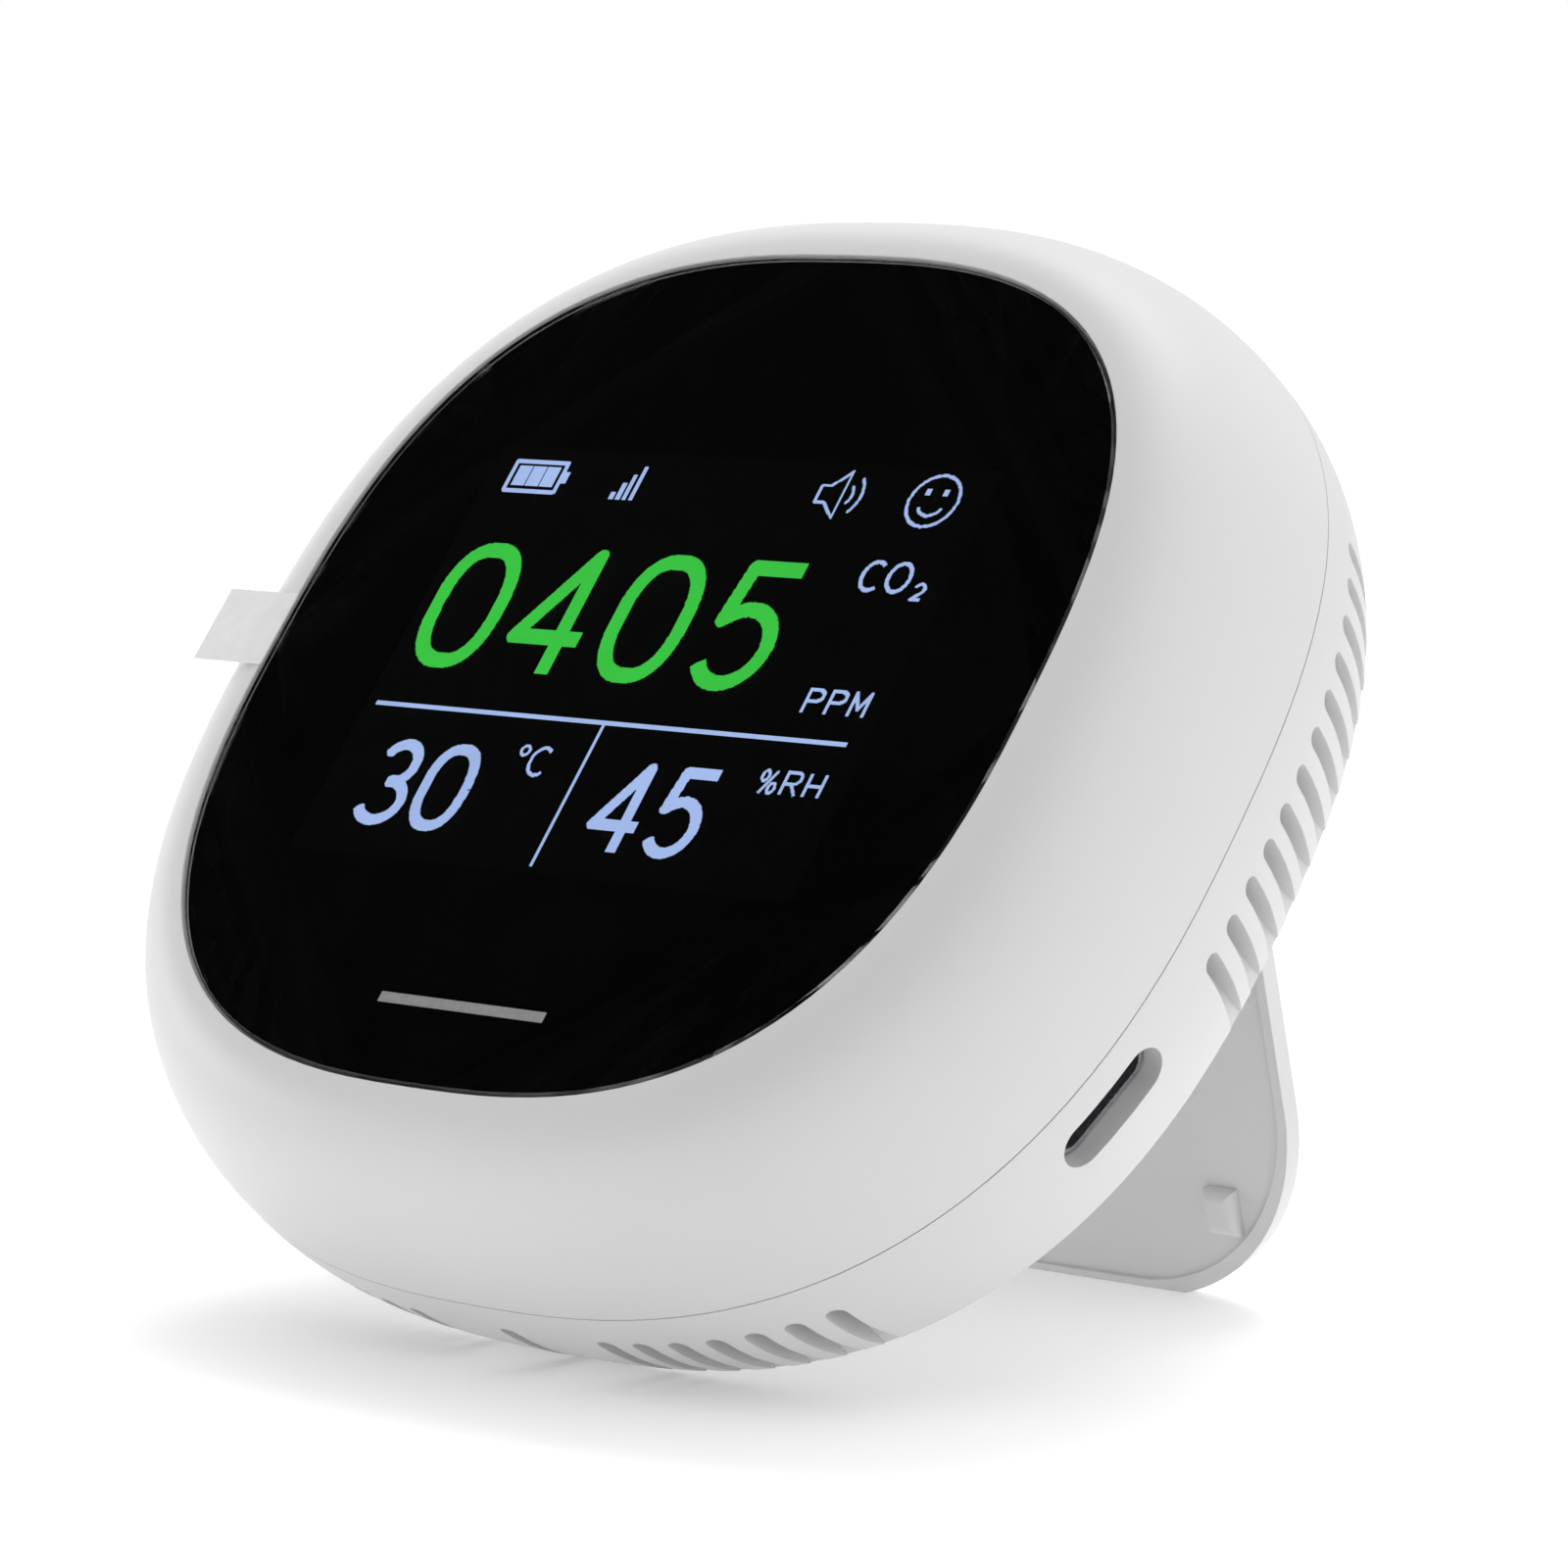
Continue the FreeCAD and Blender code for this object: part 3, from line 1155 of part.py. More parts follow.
def kickstand():
    """Plate with a hinge edge, a dished inner face, stop lugs, catch bumps and a flat foot.

    Its own frame is that of the folded stand: the hinge axis is x, and the plate runs down -y.
    """
    body = new_body("stand_plate")
    sketch = tongue(body, "plate_outline", -size.stand_outer, 0.0, "stand_half",
                    "stand_length + stand_extra", "stand_corner")
    pad(body, sketch, "stand_outer + stand_inner")
    dish = tongue(body, "dish_outline", size.stand_inner - size.stand_dish, -3.0,
                  "stand_half - stand_rim", "stand_length + stand_extra - 1.5 * stand_rim - 3",
                  "stand_corner - stand_rim")
    pocket(body, dish, "stand_dish + 1", forwards=True)
    barrel = circle(body, "barrel_circle", "YZ_Plane", 0.0, (0, 0), "barrel_radius")
    pad(body, barrel, "2 * stand_half", both_ways=True)
    floor = size.stand_inner - size.stand_dish
    for side in SIDES:
        lug = rectangle(body, f"lug_outline_{side + 1}", "XY_Plane", -size.stand_outer,
                        (side * size.stop_place, size.stop_reach / 2), "stop_width", "stop_reach")
        pad(body, lug, "stop_thick")
        bump = rectangle(body, f"catch_outline_{side + 1}", "XY_Plane", floor,
                         (side * size.catch_place, size.catch_from_edge - size.stand_length),
                         "catch_width", "catch_length")
        raised = pad(body, bump, "catch_height")
        top = floor + size.catch_height

        def ridge(edge, top=top, side=side):
            high = edge.BoundBox.ZMin > top - 0.01
            return high and edge.CenterOfMass.x * side > 0

        round_edges(body, f"catch_rounding_{side + 1}", raised, "catch_round", ridge)
    for side in SIDES:
        bore = circle(body, f"stub_bore_{side + 1}", "YZ_Plane", side * (size.stand_half + 1),
                      (0, 0), "pin_stub_radius")
        pocket(body, bore, "pin_stub_length - pin_stub_out + 1.2", forwards=side < 0)
    foot = new_sketch(body, "foot_outline", "YZ_Plane", 0.0)
    outer, inner = [Vector(along_stand, level, 0) for along_stand, level in foot_line()]
    corners = [outer, inner, Vector(-60, inner.y, 0), Vector(-60, outer.y, 0)]
    for first, second in zip(corners, corners[1:] + corners[:1]):
        foot.addGeometry(Part.LineSegment(first, second), False)
    join_corners(foot, 4)
    pocket(body, foot, "2 * stand_half + 2", both_ways=True)
    keep("kickstand", body, STAND)
    pins = []
    for side in SIDES:
        start = side * (size.stand_half + size.pin_stub_out - size.pin_stub_length)
        pins.append(rod(f"stub_{side + 1}", "pin_stub_radius", "pin_stub_length", (start, 0, 0),
                        X_AXIS * side))
    keep("hinge_pins", group("stub_pair", *pins), STAND)


def build():
    front_housing()
    rear_housing()
    housing_screws()
    vent_screens()
    cover_glass()
    black_mask()
    glass_tape()
    protective_film()
    display()
    ribbon()
    main_board()
    gas_sensor()
    battery()
    rear_components()
    charging_port()
    power_button()
    kickstand()
    doc.recompute()


def check():
    """Stop before anything is written if an object or a sub-part's shape is not sound."""
    for item in doc.Objects:
        if {"Invalid", "Error"} & set(item.State):
            raise RuntimeError(f"{item.Name} ({item.Label}) failed: {item.State}")
    for node, piece in parts.items():
        if piece.Shape.isNull() or not piece.Shape.isValid() or not piece.Shape.Solids:
            raise RuntimeError(f"{node} has no sound shape")


def write():
    os.makedirs("parts", exist_ok=True)
    for node, piece in parts.items():
        piece.Shape.exportStep(f"parts/{node}.step")
    print(f"{len(parts)} sub-parts, stand open {OPENING:.2f} degrees")


build()
check()
write()
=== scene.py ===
import bpy
import json
import math
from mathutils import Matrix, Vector


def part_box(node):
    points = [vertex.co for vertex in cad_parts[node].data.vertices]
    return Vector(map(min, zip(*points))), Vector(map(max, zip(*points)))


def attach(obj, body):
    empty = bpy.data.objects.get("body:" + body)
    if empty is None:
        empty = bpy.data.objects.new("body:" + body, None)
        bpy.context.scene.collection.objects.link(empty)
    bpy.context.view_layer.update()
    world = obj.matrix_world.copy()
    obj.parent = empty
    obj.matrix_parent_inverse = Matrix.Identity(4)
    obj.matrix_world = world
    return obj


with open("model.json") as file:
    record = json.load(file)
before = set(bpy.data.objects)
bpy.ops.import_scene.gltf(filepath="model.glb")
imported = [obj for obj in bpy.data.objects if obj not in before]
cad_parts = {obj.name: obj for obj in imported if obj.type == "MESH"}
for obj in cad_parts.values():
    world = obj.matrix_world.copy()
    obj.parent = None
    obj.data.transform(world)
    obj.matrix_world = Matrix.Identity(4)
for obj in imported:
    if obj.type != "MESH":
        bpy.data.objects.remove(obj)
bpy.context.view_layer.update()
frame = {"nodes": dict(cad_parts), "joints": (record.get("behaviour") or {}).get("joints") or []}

# Looks of a desk-top carbon dioxide monitor: moulded white case, black glass front with a lit
# display, clear pull tab, dust screens, charging socket and fold-out stand. Lengths are metres
# in the model's frame, except where a comment says millimetres.

MM = 0.001
NODES = frame["nodes"]
JOINTS = {joint["name"]: joint for joint in frame["joints"]}

# the case frame: right and up along the glass, out towards the viewer
RIGHT = Vector((1, 0, 0))
OUT = Vector(JOINTS["film_lift"]["axis"])
UP = OUT.cross(RIGHT)
HINGE = Vector(JOINTS["kickstand_hinge"]["pos_m"])


def front_of(node):
    """Point on the x = 0 plane at the middle of a node's front plane."""
    low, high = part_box(node)
    middle = (low + high) / 2
    middle.x = 0
    front = max(vertex.co.dot(OUT) for vertex in NODES[node].data.vertices)
    return middle + OUT * (front - middle.dot(OUT))


# middle of the display's front, of the glass in front of it, and of the ink between them
SCREEN = front_of("lcd_panel")
GLASS = SCREEN + OUT * (front_of("cover_glass") - SCREEN).dot(OUT)
PRINT = front_of("black_mask")


def on_case(x, y, level=0.0, origin=GLASS):
    """Point given in millimetres right, up and out from origin on the leaning case."""
    return origin + (RIGHT * x + UP * y + OUT * level) * MM


# ---- materials -----------------------------------------------------------------------------

def start_material(name, **settings):
    """New material with a Principled shader; settings are socket names with _ for spaces."""
    material = bpy.data.materials.new(name)
    material.use_nodes = True
    shader = material.node_tree.nodes["Principled BSDF"]
    for socket, amount in settings.items():
        shader.inputs[socket.replace("_", " ")].default_value = amount
    return material, material.node_tree, shader


def add(tree, kind, **settings):
    """New node; settings are its attributes."""
    node = tree.nodes.new(kind)
    for attribute, amount in settings.items():
        setattr(node, attribute, amount)
    return node


def places(tree):
    """Coordinates fixed to the piece, in metres."""
    return add(tree, "ShaderNodeTexCoord").outputs["Object"]


def noise(tree, grain, detail=3.0, roughness=0.5):
    """Noise whose grain is about that many millimetres across."""
    node = add(tree, "ShaderNodeTexNoise")
    node.inputs["Scale"].default_value = 1 / (grain * MM)
    node.inputs["Detail"].default_value = detail
    node.inputs["Roughness"].default_value = roughness
    tree.links.new(places(tree), node.inputs["Vector"])
    return node.outputs["Fac"]


# a noise seldom leaves this part of its 0 to 1 range
NOISE_LOW = 0.3
NOISE_HIGH = 0.7


def spread(tree, source, low, high):
    """Stretch a noise onto low to high."""
    node = add(tree, "ShaderNodeMapRange")
    node.inputs["From Min"].default_value = NOISE_LOW
    node.inputs["From Max"].default_value = NOISE_HIGH
    node.inputs["To Min"].default_value = low
    node.inputs["To Max"].default_value = high
    tree.links.new(source, node.inputs["Value"])
    return node.outputs["Result"]


def blend_colours(tree, source, first, second):
    """Colour between first and second, by a noise or pattern."""
    ramp = add(tree, "ShaderNodeValToRGB")
    ramp.color_ramp.elements[0].position = NOISE_LOW
    ramp.color_ramp.elements[1].position = NOISE_HIGH
    ramp.color_ramp.elements[0].color = (*first, 1)
    ramp.color_ramp.elements[1].color = (*second, 1)
    tree.links.new(source, ramp.inputs["Fac"])
    return ramp.outputs["Color"]


def bump(tree, height, depth, strength=1.0, normal=None):
    """Bump of the given depth in millimetres, on top of another normal if there is one."""
    node = add(tree, "ShaderNodeBump")
    node.inputs["Distance"].default_value = depth * MM
    node.inputs["Strength"].default_value = strength
    tree.links.new(height, node.inputs["Height"])
    if normal is not None:
        tree.links.new(normal, node.inputs["Normal"])
    return node.outputs["Normal"]


def moulded(name, colour, roughness, grain=0.16, edge=0.12):
    """Spark-textured moulded plastic whose edges are a little round."""
    material, tree, shader = start_material(name, Specular_IOR_Level=0.4)
    darker = [channel * 0.985 for channel in colour]
    cloud = noise(tree, 18.0, detail=2.0)
    tree.links.new(blend_colours(tree, cloud, darker, colour), shader.inputs["Base Color"])
    texture = noise(tree, grain, detail=4.0)
    tree.links.new(
        spread(tree, texture, roughness - 0.05, roughness + 0.05), shader.inputs["Roughness"]
    )
    soft = add(tree, "ShaderNodeBevel", samples=4)
    soft.inputs["Radius"].default_value = edge * MM
    tree.links.new(bump(tree, texture, 0.006, 0.35, soft.outputs["Normal"]),
                   shader.inputs["Normal"])
    return material, tree, shader


def metal(name, colour, roughness, streak=0.4):
    """Metal with fine marks in its polish."""
    material, tree, shader = start_material(name, Metallic=1.0)
    cloud = noise(tree, streak * 6, detail=4.0)
    darker = [channel * 0.88 for channel in colour]
    tree.links.new(blend_colours(tree, cloud, darker, colour), shader.inputs["Base Color"])
    marks = noise(tree, streak, detail=5.0, roughness=0.7)
    tree.links.new(
        spread(tree, marks, roughness - 0.06, roughness + 0.1), shader.inputs["Roughness"]
    )
    tree.links.new(bump(tree, marks, 0.004, 0.4), shader.inputs["Normal"])
    return material


def plain_plastic(name, colour, roughness):
    """Small moulded piece: connector, chip or buzzer."""
    return moulded(name, colour, roughness, grain=0.1, edge=0.08)[0]


def clear_glass():
    """Clear low-glare glass with the faintest wipe marks."""
    material, tree, shader = start_material("front_glass", Transmission_Weight=1.0, IOR=1.33)
    wipes = noise(tree, 14.0, detail=2.0)
    tree.links.new(spread(tree, wipes, 0.0, 0.006), shader.inputs["Roughness"])
    tree.links.new(
        blend_colours(tree, wipes, (0.96, 0.97, 0.97), (0.98, 0.99, 0.99)),
        shader.inputs["Base Color"],
    )
    return material


# darkest and lightest mottle of the ink behind the glass and of the unlit display
BLACK_INK = ((0.0014, 0.0014, 0.0014), (0.003, 0.0029, 0.0029))
DISPLAY_OFF = ((0.0011, 0.0011, 0.0014), (0.0023, 0.0023, 0.0027))


def dark_layer(name, grain, colours, roughness):
    """Dark surface behind the glass, without a shine of its own."""
    material, tree, shader = start_material(name, Specular_IOR_Level=0.0, Roughness=roughness)
    mottle = noise(tree, grain, detail=4.0)
    tree.links.new(blend_colours(tree, mottle, *colours), shader.inputs["Base Color"])
    return material


def lit_pixels(name, colour, strength):
    """Glow of lit display pixels, with the slight unevenness of a backlight."""
    material, tree, shader = start_material(
        name, Base_Color=(0.0, 0.0, 0.0, 1), Roughness=0.6, Specular_IOR_Level=0.0,
        Emission_Strength=strength,
    )
    dim = [channel * 0.9 for channel in colour]
    cloud = noise(tree, 6.0, detail=2.0)
    tree.links.new(blend_colours(tree, cloud, dim, colour), shader.inputs["Emission Color"])
    return material


# how solid the film's pull tab looks, and how softly that ends at the edge of the glass, in mm
TAB_ALPHA = 0.86
TAB_EDGE = 0.05


def peel_film():
    """Film that vanishes against the glass and is milky at its pull tab."""
    material, tree, shader = start_material("peel_film", Roughness=0.35)
    tree.links.new(
        blend_colours(tree, noise(tree, 1.2), (0.9, 0.9, 0.91), (0.96, 0.96, 0.97)),
        shader.inputs["Base Color"],
    )
    across = add(tree, "ShaderNodeSeparateXYZ")
    tree.links.new(places(tree), across.inputs["Vector"])
    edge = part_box("cover_glass")[0].x
    milky = add(tree, "ShaderNodeMapRange")
    milky.inputs["From Min"].default_value = edge - TAB_EDGE * MM
    milky.inputs["From Max"].default_value = edge + TAB_EDGE * MM
    milky.inputs["To Min"].default_value = TAB_ALPHA
    milky.inputs["To Max"].default_value = 0.0
    tree.links.new(across.outputs["X"], milky.inputs["Value"])
    tree.links.new(milky.outputs["Result"], shader.inputs["Alpha"])
    tree.links.new(bump(tree, noise(tree, 1.5), 0.01, 0.3), shader.inputs["Normal"])
    return material


def woven_screen():
    """Fine dust screen: crossing threads, light grey."""
    material, tree, shader = start_material("woven_screen", Roughness=0.75)
    waves = []
    for direction in ("X", "Y", "Z"):
        wave = add(tree, "ShaderNodeTexWave", bands_direction=direction)
        wave.inputs["Scale"].default_value = 1 / (1.6 * MM)
        tree.links.new(places(tree), wave.inputs["Vector"])
        waves.append(wave.outputs["Fac"])
    total = waves[0]
    for wave in waves[1:]:
        higher = add(tree, "ShaderNodeMath", operation="MAXIMUM")
        tree.links.new(total, higher.inputs[0])
        tree.links.new(wave, higher.inputs[1])
        total = higher.outputs["Value"]
    tree.links.new(
        blend_colours(tree, total, (0.42, 0.42, 0.43), (0.66, 0.66, 0.67)),
        shader.inputs["Base Color"],
    )
    tree.links.new(bump(tree, total, 0.05, 0.6), shader.inputs["Normal"])
    return material


def circuit_board():
    """Green solder mask over copper tracks, with tinned vias."""
    material, tree, shader = start_material("circuit_board", Roughness=0.35)
    tracks = add(tree, "ShaderNodeTexBrick", offset=0.37, squash=0.6, squash_frequency=3)
    tracks.inputs["Color1"].default_value = (0.008, 0.09, 0.045, 1)
    tracks.inputs["Color2"].default_value = (0.01, 0.11, 0.055, 1)
    tracks.inputs["Mortar"].default_value = (0.03, 0.21, 0.1, 1)
    tracks.inputs["Scale"].default_value = 1 / (3.2 * MM)
    tracks.inputs["Mortar Size"].default_value = 0.06
    tree.links.new(places(tree), tracks.inputs["Vector"])
    vias = add(tree, "ShaderNodeTexVoronoi")
    vias.inputs["Scale"].default_value = 1 / (2.4 * MM)
    tree.links.new(places(tree), vias.inputs["Vector"])
    spot = add(tree, "ShaderNodeMath", operation="LESS_THAN")
    spot.inputs[1].default_value = 0.13
    tree.links.new(vias.outputs["Distance"], spot.inputs[0])
    mix = add(tree, "ShaderNodeMix", data_type="RGBA")
    tree.links.new(spot.outputs["Value"], mix.inputs["Factor"])
    tree.links.new(tracks.outputs["Color"], mix.inputs["A"])
    mix.inputs["B"].default_value = (0.55, 0.55, 0.52, 1)
    tree.links.new(mix.outputs["Result"], shader.inputs["Base Color"])
    tree.links.new(bump(tree, tracks.outputs["Fac"], 0.03, 0.4), shader.inputs["Normal"])
    return material


def wrinkled_pouch():
    """Crinkled aluminium foil of the battery pouch, with painted shade: darker in the hollows of
    its creases.
    """
    material, tree, shader = start_material("pouch_foil", Metallic=0.85, Roughness=0.4)
    creases_and_shade = noise(tree, 4.0, detail=6.0, roughness=0.65)
    # colour follows the crease bump and is darker where it is low: painted shade in the crease
    # hollows
    tree.links.new(
        blend_colours(tree, creases_and_shade, (0.5, 0.51, 0.53), (0.72, 0.73, 0.75)),
        shader.inputs["Base Color"],
    )
    tree.links.new(bump(tree, creases_and_shade, 0.25, 0.5), shader.inputs["Normal"])
    return material


def soft_foam(name, colour):
    """Closed-cell foam or felt-like tape, with painted shade in the pits of its cells."""
    material, tree, shader = start_material(name, Roughness=0.9)
    cells = add(tree, "ShaderNodeTexVoronoi")
    cells.inputs["Scale"].default_value = 1 / (0.35 * MM)
    tree.links.new(places(tree), cells.inputs["Vector"])
    # colour follows the cell bump and is darker in each cell's pit: painted shade
    darker = [channel * 0.7 for channel in colour]
    tree.links.new(
        blend_colours(tree, cells.outputs["Distance"], darker, colour),
        shader.inputs["Base Color"],
    )
    tree.links.new(bump(tree, cells.outputs["Distance"], 0.08, 0.7), shader.inputs["Normal"])
    return material


def paint(material, *nodes):
    """Give carried-over nodes a material."""
    for node in nodes:
        slots = NODES[node].data.materials
        slots.clear()
        slots.append(material)


WHITE = (0.7, 0.7, 0.705)
# round marks on each side of the stand, in mm: from its middle, from its hinge, radius
STAND_MARKS = ((24.8, 19.3, 2.6), (17.5, 27.0, 3.4))
MARK_EDGE = 0.12


def ring_marks(tree, shader, rings):
    """Faint round moulding marks; rings are (centre, radius in millimetres)."""
    total = None
    for centre, radius in rings:
        away = add(tree, "ShaderNodeVectorMath", operation="DISTANCE")
        away.inputs[1].default_value = centre
        tree.links.new(places(tree), away.inputs[0])
        step = add(tree, "ShaderNodeMapRange")
        step.inputs["From Min"].default_value = (radius - MARK_EDGE) * MM
        step.inputs["From Max"].default_value = (radius + MARK_EDGE) * MM
        tree.links.new(away.outputs["Value"], step.inputs["Value"])
        if total is None:
            total = step.outputs["Result"]
            continue
        both = add(tree, "ShaderNodeMath", operation="MULTIPLY")
        tree.links.new(total, both.inputs[0])
        tree.links.new(step.outputs["Result"], both.inputs[1])
        total = both.outputs["Value"]
    below = shader.inputs["Normal"].links[0].from_socket
    tree.links.new(bump(tree, total, 0.05, 1.0, below), shader.inputs["Normal"])


def stand_axes():
    """Directions along the open stand and out of its inner face, from its own vertices."""
    vertices = NODES["kickstand"].data.vertices
    tip = min((vertex.co for vertex in vertices), key=lambda spot: spot.z)
    along = Vector((0, tip.y - HINGE.y, tip.z - HINGE.z)).normalized()
    return along, along.cross(RIGHT)


def paint_everything():
    """One material for each kind of surface."""
    case = moulded("case_plastic", WHITE, 0.46)[0]
    paint(case, "front_housing", "rear_housing", "power_button")
    stand, tree, shader = moulded("stand_plastic", WHITE, 0.38)
    along, inward = stand_axes()
    marks = []
    for side in (-1, 1):
        for across, down, radius in STAND_MARKS:
            offset = RIGHT * side * across + along * down + inward * 0.2
            marks.append((HINGE + offset * MM, radius))
    ring_marks(tree, shader, marks)
    paint(stand, "kickstand")
    paint(clear_glass(), "cover_glass")
    paint(dark_layer("black_ink", 5.0, BLACK_INK, 0.4), "black_mask")
    paint(dark_layer("display_surface", 3.0, DISPLAY_OFF, 0.35), "lcd_panel")
    paint(peel_film(), "protective_film")
    paint(woven_screen(), "vent_screens")
    board = circuit_board()
    paint(board, "main_board", "sensor_board", "wireless_module")
    paint(wrinkled_pouch(), "battery_cell")
    paint(soft_foam("black_foam", (0.05, 0.05, 0.05)), "glass_tape", "battery_tape")
    paint(soft_foam("pale_membrane", (0.8, 0.81, 0.8)), "sensor_membrane")
    paint(metal("gold_plate", (0.83, 0.6, 0.24), 0.3), "sensor_chamber", "sensor_pins")
    paint(metal("tinned_sheet", (0.7, 0.7, 0.69), 0.34), "wireless_shield", "switch_body")
    paint(metal("bracket_sheet", (0.6, 0.61, 0.63), 0.38), "display_bracket")
    paint(metal("port_sheet", (0.62, 0.63, 0.65), 0.28, streak=0.2), "usb_shell")
    paint(metal("pin_steel", (0.68, 0.69, 0.7), 0.22, streak=0.2), "hinge_pins")
    paint(metal("screw_zinc", (0.55, 0.56, 0.6), 0.3, streak=0.2),
          "housing_screws", "board_screws", "bracket_screws")
    paint(plain_plastic("black_plastic", (0.02, 0.02, 0.021), 0.45),
          "usb_tongue", "board_chips", "alarm_buzzer", "temp_humidity_sensor", "switch_plunger")
    paint(plain_plastic("ivory_plastic", (0.74, 0.7, 0.58), 0.45),
          "ribbon_connector", "battery_plug", "battery_socket")
    paint(plain_plastic("diffuser_plastic", (0.78, 0.8, 0.82), 0.4), "lcd_backlight")
    paint(plain_plastic("ribbon_plastic", (0.5, 0.25, 0.05), 0.35), "lcd_ribbon")
    paint(plain_plastic("lead_cover", (0.42, 0.02, 0.02), 0.5), "battery_leads")


# ---- what the display shows ----------------------------------------------------------------

# pitch of the display's pixels in mm, and the share of it that a lit line fills
PIXEL = 0.09
LINE_FILL = 0.93


def arc(x, y, across, tall, start, end, steps=24):
    """Points along part of an oval, angles in degrees anticlockwise from the right."""
    turns = [math.radians(start + (end - start) * step / steps) for step in range(steps + 1)]
    return [(x + across * math.cos(turn), y + tall * math.sin(turn)) for turn in turns]


def rounded_zero():
    """Tall oval with flattened sides."""
    return [
        (0.5 + 0.5 * math.copysign(abs(math.cos(turn)) ** 0.8, math.cos(turn)),
         0.5 + 0.5 * math.copysign(abs(math.sin(turn)) ** 0.8, math.sin(turn)))
        for turn in [math.tau * step / 48 for step in range(49)]
    ]


# strokes of each sign in a box one wide and one high
GLYPHS = {
    "0": [rounded_zero()],
    "3": [[*arc(0.48, 0.75, 0.4, 0.25, 155, -90), *arc(0.48, 0.26, 0.48, 0.26, 90, -155)]],
    "4": [[(1.03, 0.27), (0.0, 0.27), (0.72, 1.0), (0.72, -0.05)]],
    "5": [[(0.95, 1.0), (0.2, 1.0), (0.1, 0.54), *arc(0.47, 0.32, 0.47, 0.32, 115, -150)]],
    "2": [[*arc(0.5, 0.7, 0.42, 0.3, 160, -30), (0.05, 0.0), (0.95, 0.0)]],
    "C": [arc(0.55, 0.5, 0.5, 0.5, 50, 310)],
    "O": [arc(0.5, 0.5, 0.5, 0.5, 0, 360)],
    "P": [[(0.08, 0.0), (0.08, 1.0), (0.5, 1.0), *arc(0.55, 0.75, 0.4, 0.25, 90, -90),
           (0.08, 0.5)]],
    "M": [[(0.05, 0.0), (0.05, 1.0), (0.5, 0.3), (0.95, 1.0), (0.95, 0.0)]],
    "R": [[(0.08, 0.0), (0.08, 1.0), (0.5, 1.0), *arc(0.55, 0.75, 0.4, 0.25, 90, -90),
           (0.08, 0.5)], [(0.5, 0.5), (0.95, 0.0)]],
    "H": [[(0.08, 0.0), (0.08, 1.0)], [(0.08, 0.5), (0.92, 0.5)], [(0.92, 0.0), (0.92, 1.0)]],
    "%": [arc(0.2, 0.76, 0.18, 0.22, 0, 360), arc(0.8, 0.24, 0.18, 0.22, 0, 360),
          [(0.2, 0.0), (0.8, 1.0)]],
    "o": [arc(0.5, 0.5, 0.5, 0.5, 0, 360)],
}


def write(signs, left, bottom, width, height, pitch):
    """Strokes of a row of signs, in millimetres on the display."""
    strokes = []
    for place, sign in enumerate(signs):
        for stroke in GLYPHS[sign]:
            strokes.append(
                [(left + place * pitch + x * width, bottom + y * height) for x, y in stroke]
            )
    return strokes


def distance_to_stroke(x, y, stroke):
    """Shortest distance from a point to a stroke whose free ends are cut off square."""
    best = math.inf
    last = len(stroke) - 2
    closed = stroke[0] == stroke[-1]
    for number, ((ax, ay), (bx, by)) in enumerate(zip(stroke, stroke[1:])):
        dx, dy = bx - ax, by - ay
        share = ((x - ax) * dx + (y - ay) * dy) / (dx * dx + dy * dy)
        before_start = number == 0 and share < 0
        past_end = number == last and share > 1
        if not closed and (before_start or past_end):
            continue
        share = min(1.0, max(0.0, share))
        best = min(best, math.hypot(x - ax - share * dx, y - ay - share * dy))
    return best


def lit_runs(strokes, weight):
    """Rows of lit pixels as (left, right, middle height) for strokes of the given weight."""
    reach = weight / 2
    low = min(y for stroke in strokes for _, y in stroke) - reach
    high = max(y for stroke in strokes for _, y in stroke) + reach
    runs = []
    for row in range(math.floor(low / PIXEL), math.ceil(high / PIXEL)):
        y = (row + 0.5) * PIXEL
        lit = set()
        for stroke in strokes:
            if not min(b for _, b in stroke) - reach <= y <= max(b for _, b in stroke) + reach:
                continue
            first = math.floor((min(a for a, _ in stroke) - reach) / PIXEL)
            last = math.ceil((max(a for a, _ in stroke) + reach) / PIXEL)
            for column in range(first, last):
                if distance_to_stroke((column + 0.5) * PIXEL, y, stroke) <= reach:
                    lit.add(column)
        begin = None
        for column in range(min(lit, default=0), max(lit, default=0) + 2):
            if column in lit and begin is None:
                begin = column
            elif column not in lit and begin is not None:
                runs.append((begin * PIXEL, column * PIXEL, y))
                begin = None
    return runs


def flat_piece(name, quads, material, body, origin=SCREEN, lift=0.03):
    """Thin mesh of (left, right, low, high) rectangles in millimetres, just above origin."""
    vertices = []
    faces = []
    for left, right, low, high in quads:
        first = len(vertices)
        for x, y in ((left, low), (right, low), (right, high), (left, high)):
            vertices.append(on_case(x, y, lift, origin))
        faces.append((first, first + 1, first + 2, first + 3))
    mesh = bpy.data.meshes.new(name)
    mesh.from_pydata(vertices, [], faces)
    mesh.materials.append(material)
    piece = bpy.data.objects.new(name, mesh)
    bpy.context.scene.collection.objects.link(piece)
    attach(piece, body)
    return piece


def show(name, strokes, weight, material):
    """Light a set of strokes on the display."""
    tall = PIXEL * LINE_FILL / 2
    quads = [(left, right, y - tall, y + tall) for left, right, y in lit_runs(strokes, weight)]
    return flat_piece(name, quads, material, "case")


def battery_sign():
    """Outline of a full battery with three bars and a nub."""
    left, right, low, high = -20.75, -15.95, 13.45, 15.95
    outline = [(left, low), (right, low), (right, high), (left, high), (left, low)]
    bars = [[(left + x, low + 0.42), (left + x, high - 0.42)] for x in (1.02, 2.4, 3.78)]
    nub = [[(right + 0.4, low + 0.75), (right + 0.4, high - 0.75)]]
    return outline, bars, nub


